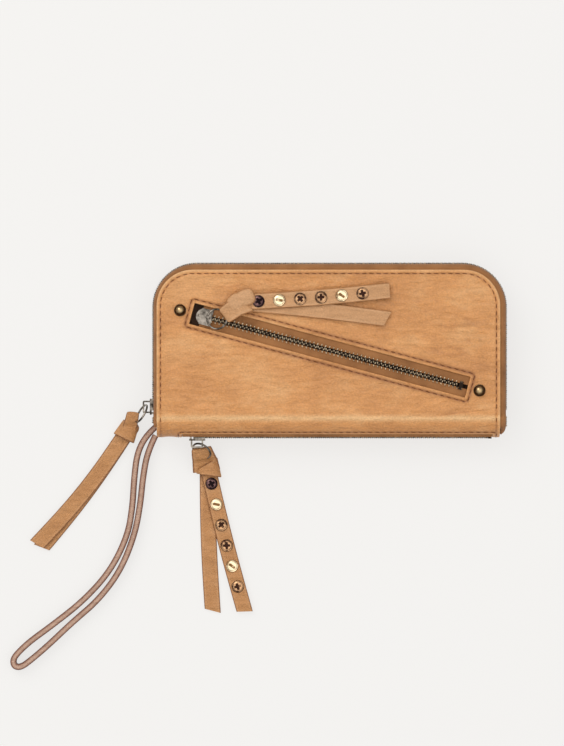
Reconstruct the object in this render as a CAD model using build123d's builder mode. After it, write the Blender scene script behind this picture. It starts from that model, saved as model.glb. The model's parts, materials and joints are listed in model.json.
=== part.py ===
"""Long zip-around leather wallet with a spine zip, a slanted front zip pocket and a wrist strap.

Frame: +X along the wallet, +Y from the spine to the long opening edge, +Z out of the front face.
The origin is the centre of the flat back face, which lies on z = 0. Millimetres.
"""
import os
from math import asin, cos, degrees, pi, radians, sin, sqrt, tan

from build123d import *

os.makedirs("parts", exist_ok=True)

# ---------------------------------------------------------------- driving dimensions
wallet_length = 200.0  # left to right, over the zip teeth
wallet_height = 99.2  # spine teeth to the teeth of the long edge
wallet_thickness = 26.0  # back face to front face
corner_radius = 24.0  # zip line round the two upper corners

leather = 1.2  # outer skin
leather_corner = 20.5  # rounded corners of the two panels
left_edge_inset = 1.5  # zip line to the panel's left edge
right_edge_inset = 3.0
top_edge_inset = 3.0
fold_gap = 0.3  # front panel to the spine, at the fold

# zip chain, the same on all three zips; half sizes are measured from the middle of the chain
tape = 0.7
tape_edge = 1.2  # half gap between the two tape edges
tape_bend = 2.5  # where the tape turns in under a panel
tape_end_clear = 0.2
tooth_pitch = 2.3
tooth_width = 1.0
tooth_reach = 0.9  # how far a tooth goes past the middle
tooth_leg = 2.4  # half width of the closed chain
tooth_height = 1.3  # half height of a tooth over its tape
tooth_head_height = 0.7
tooth_clasp_clear = 0.02  # tooth's legs to the tape, so that teeth clear it round a corner
seam_allowance = 6.0  # tape that lies under the leather

# slider body, bail and pull ring
slider_length = 9.0
slider_half_width = 4.6
slider_corner = 2.0  # rounded corners of its open end
slider_flange_length = 6.5
slider_channel = 2.75  # half width inside the flanges
slider_mouth = 1.6  # half gap between the two plates
slider_slot = 0.6  # half gap between the flanges, for the tape
slider_plate = 0.9
slider_post = 1.2
post_inset = 0.4  # slider's closed end to its post
post_to_teeth = 0.8
bail_length = 7.0
bail_width = 1.2
bail_wire = 0.9
bail_clear = 3.2  # height of the hole under the bail
ring_radius = 5.5
ring_wire = 1.1
ring_seat = 1.5  # ring wire's centre, below the bail's inner face
hanging_wire_height = 8.0  # far wire of a hanging ring, above the table
front_ring_shift = 1.9  # front pocket's ring, along its bail

# tassels: a strip looped through the ring, tied, with two loose tails
strip = 1.3
strip_width = 9.0
loop_bore = 1.6
loop_wall = 0.9
loop_width = 8.0
knot_length = 11.0
knot_width = 12.0
knot_height = 6.8
main_knot_offset = 7.0  # ring's far wire to the middle of the knot
spine_knot_offset = 5.5
front_knot_offset = 9.5
knot_round = 2.4
lie_clear = 0.2  # tassel above the surface that it lies on
tail_gap = 0.5  # lower tail to upper tail
rivet_count = 6
rivet_head = 6.6
rivet_head_height = 1.0
rivet_shank = 2.4
rivet_back = 4.0
rivet_back_height = 0.35
front_first_rivet = 12.6  # knot's middle to the first rivet
spine_first_rivet = 10.0
front_rivet_pitch = 11.7
spine_rivet_pitch = 12.0

# slanted pocket on the front
window_side = 20.0  # wallet's end to the window's end, along the window
window_width = 12.0
window_angle = -15.0
pocket_slider_inset = 7.0  # window's left end to the slider's middle
pocket_stop_inset = 3.0  # last tooth's end to the window's right end
pocket_bag_depth = 30.0  # below the window's middle line
pocket_bag_rise = 9.0  # above it
pocket_bag_sheet = 0.4
pocket_bag_room = 2.1
pocket_bag_side = 2.0  # how far it goes past each end of the window
pocket_bag_clear = 2.0  # bag to the boards' edges
stud_head = 6.8
stud_height = 3.2
stud_post = 2.0
stud_back = 5.0
stud_back_height = 0.6
stud_back_clear = 0.3  # hole for it in the pocket's tape
stud_to_window = 6.9  # stud's middle to the window's end

# spine zip
spine_slot = 12.4
spine_slot_left_inset = 14.2  # from the panel's left edge
spine_slot_right_inset = 4.2
spine_proud = 0.6  # spine leather outside the zip line
spine_slider_inset = 8.3  # slot's left end to the slider's middle
spine_stop_inset = 2.5  # last tooth's end to the slot's right end
spine_tape_clear = 0.35  # sewn tape to the leather's inner face
spine_tape_flat = 0.15  # flat part of the tape, past the slider's edge
spine_tape_sewn = 2.8  # tape behind the leather, past the slot's edge
stop_clear = 0.2  # last tooth to the stop

# main slider, and the zip-around's ends past the fold, tucked in at the spine's ends
main_slider_y = -31.8
tape_end_start = 0.3  # fold to the tucked end
tape_end_half = 4.4  # half height of a tucked end
tape_end_sewn = 1.2  # part of it where both tapes are sewn together
left_end_spread = 0.9  # rows of teeth apart, before the slider
left_end_straight = 5.3  # fold to the end of the straight part
left_end_tuck = (1.0, 2.3)  # from there inwards, and down
right_end_straight = 7.1
right_end_tuck = (2.0, 2.2)
left_end_teeth_below = 1.3  # fold to the first tooth
right_end_teeth_below = 0.8

# inside
board = 0.6
lining = 0.5
card_slot = 0.55
card_slots = 4
card_slot_step = 9.0
card_slot_low = 43.0  # height of the shortest slot
card_slot_side = 9.0  # slots to the zip line, at each end
lining_inset = 6.8  # zip line to the edge of the boards and linings
lining_fold = 3.0  # fold to the edge of the boards and linings
end_tab_clear = 0.5  # main slider to the tab that closes the spine's end
coin_wall = 0.6
coin_room = 5.0
coin_side = 9.0  # coin pocket to the zip line, at each end
coin_top = 12.0  # coin pocket to the zip line of the long edge
coin_hinge_in = 10.3  # spine zip line to the coin pocket's hinge line
collar_clear = 0.35
collar_inset = 0.5  # sewn tape's edge to the collar's edge
collar_sink = 0.1  # how far the collar's end stops short of the tape

# wrist strap, a strip that lies on its edge
strap = 3.4
strap_width = 6.0
strap_clear = 1.1  # strap's ends to the panel's left edge

# ---------------------------------------------------------------- derived places
zip_x = wallet_length / 2 - tooth_height
zip_y = wallet_height / 2 - tooth_height
mid_z = wallet_thickness / 2
panel_left = -zip_x + left_edge_inset
panel_right = zip_x - right_edge_inset
panel_top = zip_y - top_edge_inset
window_length = wallet_length - 2 * window_side
pocket_slider_at = pocket_slider_inset - window_length / 2
pocket_teeth_end = window_length - pocket_slider_inset - pocket_stop_inset - 2 * tooth_width
stud_distance = window_length / 2 + stud_to_window
spine_slot_left = panel_left + spine_slot_left_inset
spine_slot_right = panel_right - spine_slot_right_inset
spine_slider_x = spine_slot_left + spine_slider_inset
spine_teeth_end = spine_slot_right - spine_stop_inset - spine_slider_x
spine_radius = wallet_thickness / 2
spine_y = -zip_y - spine_proud + spine_radius
fold_y = spine_y
front_under = wallet_thickness - leather
plate_top = slider_mouth + slider_plate
bail_inner = plate_top + bail_clear
ring_seat_n = bail_inner - ring_seat
lining_low = fold_y + lining_fold
tape_low = fold_y + fold_gap
teeth_start = -slider_length / 2 + post_inset + slider_post + post_to_teeth
teeth_low = main_slider_y + teeth_start
loop_radius = loop_bore + loop_wall


def direction(heading):
    """Unit vector in the XY plane at a heading in degrees from +X."""
    return Vector(cos(radians(heading)), sin(radians(heading)), 0)


slant = direction(window_angle)
slant_across = direction(window_angle - 90)
pocket_z = front_under - tape / 2

# Each zip has a frame: x along the chain, the way the slider opens it, y out of the chain's face.
main_zip_frame = Plane(origin=(-zip_x, main_slider_y, mid_z), x_dir=(0, 1, 0), z_dir=(0, 0, 1))
spine_zip_frame = Plane(origin=(spine_slider_x, -zip_y, mid_z), x_dir=(1, 0, 0), z_dir=(0, 0, -1))
pocket_origin = slant * pocket_slider_at + Vector(0, 0, pocket_z)
pocket_zip_frame = Plane(origin=pocket_origin, x_dir=slant, z_dir=slant_across)


# ---------------------------------------------------------------- shared shapes
def tooth(side):
    """One tooth: a head past the middle and two legs that clasp the tape. side is +1 or -1."""
    clasp = tape / 2 + tooth_clasp_clear
    profile = [
        (-tooth_head_height, -tooth_reach),
        (-tooth_head_height, tape_edge / 2),
        (-tooth_height, tape_edge),
        (-tooth_height, tooth_leg),
        (-clasp, tooth_leg),
        (-clasp, tape_edge),
        (clasp, tape_edge),
        (clasp, tooth_leg),
        (tooth_height, tooth_leg),
        (tooth_height, tape_edge),
        (tooth_head_height, tape_edge / 2),
        (tooth_head_height, -tooth_reach),
    ]
    with BuildPart() as one:
        with BuildSketch(Plane.YZ):
            with BuildLine():
                Polyline([(out, side * across) for out, across in profile], close=True)
            make_face()
        extrude(amount=tooth_width / 2, both=True)
    return one.part


def tooth_row(side, places):
    """A row of separate teeth at the given locations."""
    one = tooth(side)
    with BuildPart() as row:
        with Locations(*places):
            add(one)
    return row


def straight_places(frame, start, end, shift):
    """Locations for teeth along a zip frame's x axis, from start to end, shifted by a share of the pitch."""
    count = int((end - start - tooth_width) / tooth_pitch - shift)
    first = start + tooth_width / 2 + shift * tooth_pitch
    steps = [first + i * tooth_pitch for i in range(count + 1)]
    return [frame.location * Location((step, 0, 0)) for step in steps]


def rim_place(run):
    """Location on the zip line round the left, upper and right edges, at a run from its lower left end."""
    side_run = zip_y - corner_radius - teeth_low
    corner_run = corner_radius * pi / 2
    top_run = 2 * (zip_x - corner_radius)
    corner_x = zip_x - corner_radius
    corner_y = zip_y - corner_radius
    if run < side_run:
        point = (-zip_x, teeth_low + run, mid_z)
        heading = 90
    elif run < side_run + corner_run:
        heading = 90 - degrees((run - side_run) / corner_radius)
        out = direction(heading + 90) * corner_radius
        point = (-corner_x + out.X, corner_y + out.Y, mid_z)
    elif run < side_run + corner_run + top_run:
        point = (-corner_x + run - side_run - corner_run, zip_y, mid_z)
        heading = 0
    elif run < side_run + 2 * corner_run + top_run:
        heading = -degrees((run - side_run - corner_run - top_run) / corner_radius)
        out = direction(heading + 90) * corner_radius
        point = (corner_x + out.X, corner_y + out.Y, mid_z)
    else:
        point = (zip_x, corner_y - (run - side_run - 2 * corner_run - top_run), mid_z)
        heading = -90
    return Location(point, (0, 0, heading))


def rim_places(shift):
    """Locations for one row of teeth round the three edges."""
    rim_length = 2 * (zip_y - corner_radius - teeth_low) + corner_radius * pi + 2 * (zip_x - corner_radius)
    count = int((rim_length - tooth_width) / tooth_pitch - shift)
    first = tooth_width / 2 + shift * tooth_pitch
    return [rim_place(first + i * tooth_pitch) for i in range(count + 1)]


def slider_body():
    """Two plates with flanges that leave a slot for each tape, joined by a post at the closed end."""
    channel_depth = slider_mouth - slider_slot
    with BuildPart() as body:
        for side in (1, -1):
            with BuildSketch(Plane.XZ.offset(-side * slider_mouth)):
                with Locations((slider_length / 2, 0)):
                    RectangleRounded(
                        slider_length - slider_half_width + slider_corner,
                        2 * slider_half_width,
                        slider_corner,
                        align=(Align.MAX, Align.CENTER),
                    )
                with Locations((-slider_length / 2 + slider_half_width, 0)):
                    Circle(slider_half_width)
            extrude(amount=-side * slider_plate)
            flange_x = (slider_length - slider_flange_length) / 2
            flange_z = (slider_half_width + slider_channel) / 2
            with BuildSketch(Plane.XZ.offset(-side * slider_slot)):
                with Locations((flange_x, flange_z), (flange_x, -flange_z)):
                    Rectangle(slider_flange_length, slider_half_width - slider_channel)
            extrude(amount=-side * channel_depth)
        with BuildSketch(Plane.XZ.offset(-slider_mouth)):
            with Locations((-slider_length / 2 + post_inset + slider_post / 2, 0)):
                Rectangle(slider_post, slider_post)
        extrude(amount=2 * slider_mouth)
    return body.part


def slider_bail():
    """The bridge that holds the ring: an arch along the slider."""
    with BuildPart() as bail:
        with BuildSketch(Plane.XY):
            with Locations((0, plate_top + (bail_clear + bail_wire) / 2)):
                RectangleRounded(bail_length, bail_clear + bail_wire, bail_wire)
            with Locations((0, plate_top + bail_wire / 2)):
                Rectangle(bail_length, bail_wire)
            with Locations((0, plate_top + bail_clear / 2)):
                Rectangle(bail_length - 2 * bail_wire, bail_clear, mode=Mode.SUBTRACT)
        extrude(amount=bail_width / 2, both=True)
    return bail.part


def placed(shape, frame):
    """A builder that holds a copy of a shape, moved from its own frame into a zip's frame."""
    with BuildPart() as copy:
        with Locations(frame.location):
            add(shape)
    return copy


def pull_frame(zip_frame, shift, heading, drop, lean):
    """Frame of a ring: origin in the bail, x across the ring, y along its wire in the bail.

    The far wire lies lower by drop. The ring stands upright at lean 0 and lies on its side at lean 90.
    """
    seat = zip_frame.from_local_coords(Vector(shift, ring_seat_n, 0))
    slope = asin(drop / (2 * ring_radius))
    forward = direction(heading)
    towards = Vector(forward.X * cos(slope), forward.Y * cos(slope), -sin(slope))
    upright = Vector(forward.X * sin(slope), forward.Y * sin(slope), cos(slope))
    wire = upright * cos(radians(lean)) + direction(heading + 90) * sin(radians(lean))
    return Plane(origin=seat, x_dir=towards, z_dir=towards.cross(wire))


def pull_ring(frame):
    """A round wire ring that hangs in the bail."""
    with BuildPart(frame) as ring:
        with Locations((ring_radius, 0, 0)):
            Torus(ring_radius, ring_wire / 2)
    return ring


def sleeve_frame(ring_frame, turn):
    """Frame of the sleeve round the ring's wire: origin half way into the wire's bow, x away from the ring.

    turn is the angle round the ring from the side opposite the bail.
    """
    bow = ring_radius - sqrt(ring_radius**2 - (loop_width / 2) ** 2)
    middle = ring_frame * Location((ring_radius, 0, 0), (0, 0, turn)) * Location((ring_radius - bow / 2, 0, 0))
    return Plane(middle)


def tail_outline(start, end, width, cut):
    """Outline of a tail from start to end, its far end cut at a slant; cut is the slant's length."""
    first = Vector(*start)
    last = Vector(*end)
    along = (last - first).normalized()
    across = Vector(-along.Y, along.X, 0) * (width / 2)
    corners = [
        first - across,
        last - across - along * (cut / 2),
        last + across + along * (cut / 2),
        first + across,
    ]
    with BuildSketch() as outline:
        with BuildLine():
            Polyline([(corner.X, corner.Y) for corner in corners], close=True)
        make_face()
    return outline.sketch


def tassel(wire_frame, heading, knot_offset, surface, upper, lower, cuts, rivets):
    """The tied strip: a sleeve round the ring's wire, a knot, and an upper and a lower tail."""
    far_wire = wire_frame.origin
    knot = far_wire + direction(heading) * knot_offset
    lower_z = surface + lie_clear
    upper_z = lower_z + strip + tail_gap
    sleeve = Plane(origin=far_wire, x_dir=wire_frame.x_dir, z_dir=wire_frame.y_dir)
    knot_base = Plane(
        origin=(knot.X, knot.Y, lower_z), x_dir=direction(heading), z_dir=(0, 0, 1)
    )
    with BuildPart() as tied:
        with BuildSketch(knot_base):
            RectangleRounded(knot_length, knot_width, knot_round)
        extrude(amount=knot_height)
        fillet(tied.edges().group_by(Axis.Z)[-1], knot_round)
        with BuildSketch(Plane.XY.offset(lower_z)):
            add(tail_outline((knot.X, knot.Y), lower, strip_width, cuts[1]))
        extrude(amount=strip)
        with BuildSketch(Plane.XY.offset(upper_z)):
            add(tail_outline((knot.X, knot.Y), upper, strip_width, cuts[0]))
        extrude(amount=strip)
        with BuildSketch(sleeve):
            Circle(loop_radius)
            with Locations((knot_offset / 2 - loop_wall, 0)):
                Rectangle(knot_offset - 2 * loop_wall, 2 * loop_wall)
        extrude(amount=loop_width / 2, both=True)
        with BuildSketch(sleeve):
            Circle(loop_bore)
        extrude(amount=loop_width, both=True, mode=Mode.SUBTRACT)
        with BuildSketch(knot_base):
            Circle(knot_length)
        extrude(amount=-knot_height, mode=Mode.SUBTRACT)
        if rivets:
            with BuildSketch(Plane.XY.offset(upper_z)):
                with Locations(*rivets):
                    Circle(rivet_shank / 2)
            extrude(amount=strip, mode=Mode.SUBTRACT)
    return tied


def rivet_places(wire_frame, heading, knot_offset, upper, first_rivet, pitch):
    """Rivet centres along the upper tail."""
    knot = wire_frame.origin + direction(heading) * knot_offset
    start = Vector(knot.X, knot.Y, 0)
    along = (Vector(*upper) - start).normalized()
    places = [start + along * (first_rivet + i * pitch) for i in range(rivet_count)]
    return [(place.X, place.Y) for place in places]


def rivet_set(surface, places):
    """Six rivets: a low head on the tail, a shank through it, and a small plate behind it."""
    tail_z = surface + lie_clear + strip + tail_gap
    with BuildPart() as rivets:
        with BuildSketch(Plane.XY.offset(tail_z - rivet_back_height)):
            with Locations(*places):
                Circle(rivet_back / 2)
        extrude(amount=rivet_back_height)
        with BuildSketch(Plane.XY.offset(tail_z)):
            with Locations(*places):
                Circle(rivet_shank / 2)
        extrude(amount=strip)
        with BuildSketch(Plane.XY.offset(tail_z + strip)):
            with Locations(*places):
                Circle(rivet_head / 2)
        extrude(amount=rivet_head_height, taper=18)
    return rivets


def panel_outline(left, right, low, top, radius):
    """A panel with a square lower edge and two rounded upper corners."""
    with BuildSketch() as outline:
        with BuildLine():
            FilletPolyline((left, low), (left, top), (right, top), (right, low), radius=radius)
            Line((right, low), (left, low))
        make_face()
    return outline.sketch


def inner_sheet(base, thickness):
    """A board or lining that stops short of the zip tape and of the fold."""
    edge_x = zip_x - lining_inset
    edge_top = zip_y - lining_inset
    edge_radius = corner_radius - lining_inset
    with BuildPart() as sheet:
        with BuildSketch(Plane.XY.offset(base)):
            add(panel_outline(-edge_x, edge_x, lining_low, edge_top, edge_radius))
        extrude(amount=thickness)
    return sheet


def rim_tape(side):
    """Half of the zip-around tape: up from the teeth, then turned in under the panel's edge."""
    tape_top = mid_z - leather - tape / 2
    start = Plane(origin=(-zip_x, tape_low, mid_z), x_dir=(-1, 0, 0), z_dir=(0, 1, 0))
    with BuildPart() as half:
        with BuildLine() as rim:
            FilletPolyline(
                (-zip_x, tape_low, mid_z),
                (-zip_x, zip_y, mid_z),
                (zip_x, zip_y, mid_z),
                (zip_x, tape_low, mid_z),
                radius=corner_radius,
            )
        with BuildSketch(start):
            with BuildLine():
                FilletPolyline(
                    (0, side * tape_edge),
                    (0, side * tape_top),
                    (-seam_allowance, side * tape_top),
                    radius=tape_bend,
                )
            trace(line_width=tape)
        sweep(path=rim.wires()[0])
    return half


def finish(builder, name):
    """Label a finished piece and write it."""
    builder.part.label = name
    export_step(builder.part, f"parts/{name}.step")


# ---------------------------------------------------------------- outer leather
skin_width = panel_right - panel_left
skin_middle = (panel_left + panel_right) / 2

with BuildPart() as back_and_spine_leather:
    with BuildSketch(Plane.YZ.offset(skin_middle)):
        with BuildLine():
            Line((panel_top, 0), (spine_y, 0))
            CenterArc((spine_y, mid_z), spine_radius, 270, -180)
            Line((spine_y, 2 * spine_radius), (spine_y, 2 * spine_radius - leather))
            CenterArc((spine_y, mid_z), spine_radius - leather, 90, 180)
            Line((spine_y, leather), (panel_top, leather))
            Line((panel_top, leather), (panel_top, 0))
        make_face()
    extrude(amount=skin_width / 2, both=True)
    with BuildSketch(Plane.XY):
        with BuildLine():
            FilletPolyline(
                (panel_left, spine_y),
                (panel_left, panel_top),
                (panel_right, panel_top),
                (panel_right, spine_y),
                radius=leather_corner,
            )
            Polyline(
                (panel_right, spine_y),
                (panel_right, spine_y - 2 * spine_radius),
                (panel_left, spine_y - 2 * spine_radius),
                (panel_left, spine_y),
            )
        make_face()
    extrude(amount=wallet_thickness, mode=Mode.INTERSECT)
    with BuildSketch(Plane.XZ.offset(zip_y - spine_radius / 2)):
        with Locations(((spine_slot_left + spine_slot_right) / 2, mid_z)):
            Rectangle(spine_slot_right - spine_slot_left, spine_slot)
    extrude(amount=spine_radius, mode=Mode.SUBTRACT)
finish(back_and_spine_leather, "back_and_spine_leather")

stud_places = [tuple(slant * -stud_distance), tuple(slant * stud_distance)]
stud_points = [(place[0], place[1]) for place in stud_places]

with BuildPart() as front_leather:
    with BuildSketch(Plane.XY.offset(front_under)):
        add(panel_outline(panel_left, panel_right, fold_y + fold_gap, panel_top, leather_corner))
        with Locations(Location((0, 0), (0, 0, window_angle))):
            Rectangle(window_length, window_width, mode=Mode.SUBTRACT)
        with Locations(*stud_points):
            Circle(stud_post / 2, mode=Mode.SUBTRACT)
    extrude(amount=leather)
finish(front_leather, "front_leather")

# ---------------------------------------------------------------- zip-around
front_zip_tape = rim_tape(1)
finish(front_zip_tape, "front_zip_tape")

back_zip_tape = rim_tape(-1)
finish(back_zip_tape, "back_zip_tape")

front_zip_teeth = tooth_row(1, rim_places(0))
finish(front_zip_teeth, "front_zip_teeth")

back_zip_teeth = tooth_row(-1, rim_places(0.5))
finish(back_zip_teeth, "back_zip_teeth")


def end_path(side, straight, tuck):
    """Corners of a tucked end's path, from the fold inwards. side is -1 at the left, +1 at the right."""
    inwards, down = tuck
    return [
        (side * zip_x, fold_y - tape_end_start),
        (side * zip_x, fold_y - straight),
        (side * (zip_x - inwards), fold_y - straight - down),
    ]


def tape_end(side, straight, tuck, spread):
    """Both tapes past the fold: a slit between them for the teeth, sewn together at the far end."""
    corners = end_path(side, straight, tuck)
    slit = 2 * (tape_edge + spread)
    with BuildPart() as end:
        with BuildSketch(Plane.XY.offset(mid_z)):
            with BuildLine():
                Polyline(*corners)
            trace(line_width=tape)
        extrude(amount=tape_end_half, both=True)
        with BuildSketch(Plane.YZ):
            with Locations((corners[-1][1] + tape_end_sewn, mid_z)):
                Rectangle(zip_y, slit, align=(Align.MIN, Align.CENTER))
        extrude(amount=side * wallet_length, mode=Mode.SUBTRACT)
    return end


def end_teeth(side, straight, below, spread):
    """The last teeth of both rows, on the straight part of a tucked end."""
    first_y = fold_y - below
    last_y = fold_y - straight + tooth_width
    with BuildPart() as teeth:
        for row in (1, -1):
            start_y = first_y - tooth_width / 2 - (tooth_pitch / 2 if row < 0 else 0)
            count = int((start_y - last_y) / tooth_pitch) + 1
            places = []
            for i in range(count):
                point = (side * zip_x, start_y - i * tooth_pitch, mid_z + row * spread)
                places.append(Location(point, (0, 0, -90)))
            with Locations(*places):
                add(tooth(row))
    return teeth


left_tape_end = tape_end(-1, left_end_straight, left_end_tuck, left_end_spread)
finish(left_tape_end, "left_tape_end")

right_tape_end = tape_end(1, right_end_straight, right_end_tuck, 0.0)
finish(right_tape_end, "right_tape_end")

left_end_teeth = end_teeth(-1, left_end_straight, left_end_teeth_below, left_end_spread)
finish(left_end_teeth, "left_end_teeth")

right_end_teeth = end_teeth(1, right_end_straight, right_end_teeth_below, 0.0)
finish(right_end_teeth, "right_end_teeth")

# ---------------------------------------------------------------- spine zip
# The tape runs flat beside the teeth, slopes in behind the leather and lies along its inner face.
sewn_radius = spine_radius - leather - tape / 2 - spine_tape_clear
flat_across = slider_half_width + spine_tape_flat
bend_across = spine_slot / 2
sewn_across = bend_across + spine_tape_sewn


def spine_tape(side):
    """One half of the spine zip's tape."""
    bend_y = spine_y - sqrt(sewn_radius**2 - bend_across**2)
    sewn_y = spine_y - sqrt(sewn_radius**2 - sewn_across**2)
    tape_length = spine_slot_right - spine_slot_left - 2 * tape_end_clear
    with BuildPart() as half:
        with BuildSketch(Plane.YZ.offset((spine_slot_left + spine_slot_right) / 2)):
            with BuildLine():
                Polyline(
                    (-zip_y, mid_z + side * tape_edge),
                    (-zip_y, mid_z + side * flat_across),
                    (bend_y, mid_z + side * bend_across),
                    (sewn_y, mid_z + side * sewn_across),
                )
            trace(line_width=tape)
        extrude(amount=tape_length / 2, both=True)
    return half


spine_tape_upper = spine_tape(1)
finish(spine_tape_upper, "spine_tape_upper")

spine_tape_lower = spine_tape(-1)
finish(spine_tape_lower, "spine_tape_lower")

spine_teeth_upper = tooth_row(-1, straight_places(spine_zip_frame, teeth_start, spine_teeth_end, 0))
finish(spine_teeth_upper, "spine_teeth_upper")

spine_teeth_lower = tooth_row(1, straight_places(spine_zip_frame, teeth_start, spine_teeth_end, 0.5))
finish(spine_teeth_lower, "spine_teeth_lower")


def end_stop():
    """A staple that clamps both tapes beyond the last teeth."""
    with BuildPart() as stop:
        with BuildSketch(Plane.YZ):
            Rectangle(2 * tooth_height, 2 * tooth_leg)
            for side in (1, -1):
                with Locations((0, side * (tape_edge + tooth_leg) / 2)):
                    Rectangle(tape, tooth_leg - tape_edge, mode=Mode.SUBTRACT)
        extrude(amount=2 * tooth_width)
    return stop.part


stop_shape = end_stop()
stop_place = Location((spine_teeth_end + stop_clear, 0, 0))
spine_zip_stop = placed(stop_shape, Plane(spine_zip_frame.location * stop_place))
finish(spine_zip_stop, "spine_zip_stop")

# ---------------------------------------------------------------- slanted pocket on the front

def pocket_tape(side):
    """One half of the pocket's tape, flat under the leather; side +1 is the lower half."""
    tape_width = window_width / 2 + seam_allowance - tape_edge
    with BuildPart() as half:
        with BuildSketch(Plane.XY.offset(front_under - tape)):
            with Locations(Location((0, 0), (0, 0, window_angle))):
                with Locations((0, -side * (tape_edge + tape_width / 2))):
                    Rectangle(window_length + seam_allowance, tape_width)
            with Locations(*stud_points):
                Circle(stud_back / 2 + stud_back_clear, mode=Mode.SUBTRACT)
        extrude(amount=tape)
    return half


pocket_tape_upper = pocket_tape(-1)
finish(pocket_tape_upper, "pocket_tape_upper")

pocket_tape_lower = pocket_tape(1)
finish(pocket_tape_lower, "pocket_tape_lower")

pocket_teeth_upper = tooth_row(-1, straight_places(pocket_zip_frame, teeth_start, pocket_teeth_end, 0))
finish(pocket_teeth_upper, "pocket_teeth_upper")

pocket_teeth_lower = tooth_row(1, straight_places(pocket_zip_frame, teeth_start, pocket_teeth_end, 0.5))
finish(pocket_teeth_lower, "pocket_teeth_lower")

stop_place = Location((pocket_teeth_end + stop_clear, 0, 0))
pocket_zip_stop = placed(stop_shape, Plane(pocket_zip_frame.location * stop_place))
finish(pocket_zip_stop, "pocket_zip_stop")

# A flat bag of lining under the window, open towards the zip.
bag_top = front_under - tape
bag_base = bag_top - 2 * pocket_bag_sheet - pocket_bag_room
bag_inset = lining_inset + pocket_bag_clear


def bag_outline(margin):
    """The slanted bag, cut off where it would reach the panel's edges; margin shrinks it all round."""
    edge_x = zip_x - bag_inset - margin
    edge_top = zip_y - bag_inset - margin
    edge_low = lining_low + margin
    bag_height = pocket_bag_depth + pocket_bag_rise - 2 * margin
    with BuildSketch() as outline:
        with Locations(Location((0, 0), (0, 0, window_angle))):
            with Locations((0, (pocket_bag_rise - pocket_bag_depth) / 2)):
                Rectangle(window_length + 2 * (pocket_bag_side - margin), bag_height)
        with Locations((0, (edge_top + edge_low) / 2)):
            Rectangle(2 * edge_x, edge_top - edge_low, mode=Mode.INTERSECT)
    return outline.sketch


with BuildPart() as pocket_bag:
    with BuildSketch(Plane.XY.offset(bag_base)):
        add(bag_outline(0))
    extrude(amount=bag_top - bag_base)
    with BuildSketch(Plane.XY.offset(bag_base + pocket_bag_sheet)):
        add(bag_outline(pocket_bag_sheet))
    extrude(amount=pocket_bag_room, mode=Mode.SUBTRACT)
    with BuildSketch(Plane.XY.offset(bag_top - pocket_bag_sheet)):
        with Locations(Location((0, 0), (0, 0, window_angle))):
            Rectangle(window_length, window_width)
    extrude(amount=pocket_bag_sheet, mode=Mode.SUBTRACT)
finish(pocket_bag, "pocket_bag")

# ---------------------------------------------------------------- domed studs beside the window
stud_names = ["left", "right"]
for name, point in zip(stud_names, stud_points):
    dome_radius = (stud_head**2 / 4 + stud_height**2) / (2 * stud_height)
    with BuildPart() as stud:
        with BuildSketch(Plane.XY.offset(wallet_thickness)):
            with Locations(point):
                Circle(stud_head / 2)
        extrude(amount=stud_height)
        with Locations((point[0], point[1], wallet_thickness + stud_height - dome_radius)):
            Sphere(dome_radius, mode=Mode.INTERSECT)
        with BuildSketch(Plane.XY.offset(front_under)):
            with Locations(point):
                Circle(stud_post / 2)
        extrude(amount=leather)
    finish(stud, f"{name}_stud")
    with BuildPart() as back:
        with BuildSketch(Plane.XY.offset(front_under - stud_back_height)):
            with Locations(point):
                Circle(stud_back / 2)
        extrude(amount=stud_back_height)
    finish(back, f"{name}_stud_back")

# ---------------------------------------------------------------- boards, linings and card slots
front_board_base = bag_base - board
front_board = inner_sheet(front_board_base, board)
finish(front_board, "front_board")

front_lining_base = front_board_base - lining
front_lining = inner_sheet(front_lining_base, lining)
finish(front_lining, "front_lining")

back_board = inner_sheet(leather, board)
finish(back_board, "back_board")

back_lining = inner_sheet(leather + board, lining)
finish(back_lining, "back_lining")

# The slots are stacked strips, the tallest next to the lining, so that their mouths step down.
slot_base = leather + board + lining
for number in range(card_slots):
    slot_height = card_slot_low + (card_slots - 1 - number) * card_slot_step
    with BuildPart() as slot:
        with BuildSketch(Plane.XY.offset(slot_base + number * card_slot)):
            with Locations((0, lining_low + slot_height / 2)):
                Rectangle(2 * (zip_x - card_slot_side), slot_height)
        extrude(amount=card_slot)
    finish(slot, f"card_slot_{number + 1}")
slots_top = slot_base + card_slots * card_slot

# ---------------------------------------------------------------- tabs that close the spine's two ends
# Each half-round tab is sewn inside the spine's leather, over the zip-around tape's tucked end.
tab_edge = main_slider_y - slider_length / 2 - end_tab_clear
for name, outer_x in (("left", panel_left), ("right", panel_right - leather)):
    with BuildPart() as tab:
        with BuildSketch(Plane.YZ.offset(outer_x)):
            with Locations((spine_y, mid_z)):
                Circle(spine_radius - leather)
            with Locations((tab_edge + spine_radius, mid_z)):
                Rectangle(2 * spine_radius, 2 * spine_radius, mode=Mode.SUBTRACT)
        extrude(amount=leather)
    finish(tab, f"{name}_end_tab")

# ---------------------------------------------------------------- coin pocket behind the spine zip
coin_z = (slots_top + front_lining_base) / 2
coin_y = -zip_y + coin_hinge_in
coin_left = -zip_x + coin_side
coin_right = zip_x - coin_side
coin_end = zip_y - coin_top
coin_half = coin_room / 2 + coin_wall

with BuildPart() as coin_pocket_back_wall:
    with BuildSketch(Plane.XY.offset(coin_z - coin_half)):
        with Locations(((coin_left + coin_right) / 2, (coin_y + coin_end) / 2)):
            Rectangle(coin_right - coin_left, coin_end - coin_y)
    extrude(amount=coin_wall)
finish(coin_pocket_back_wall, "coin_pocket_back_wall")

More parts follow.
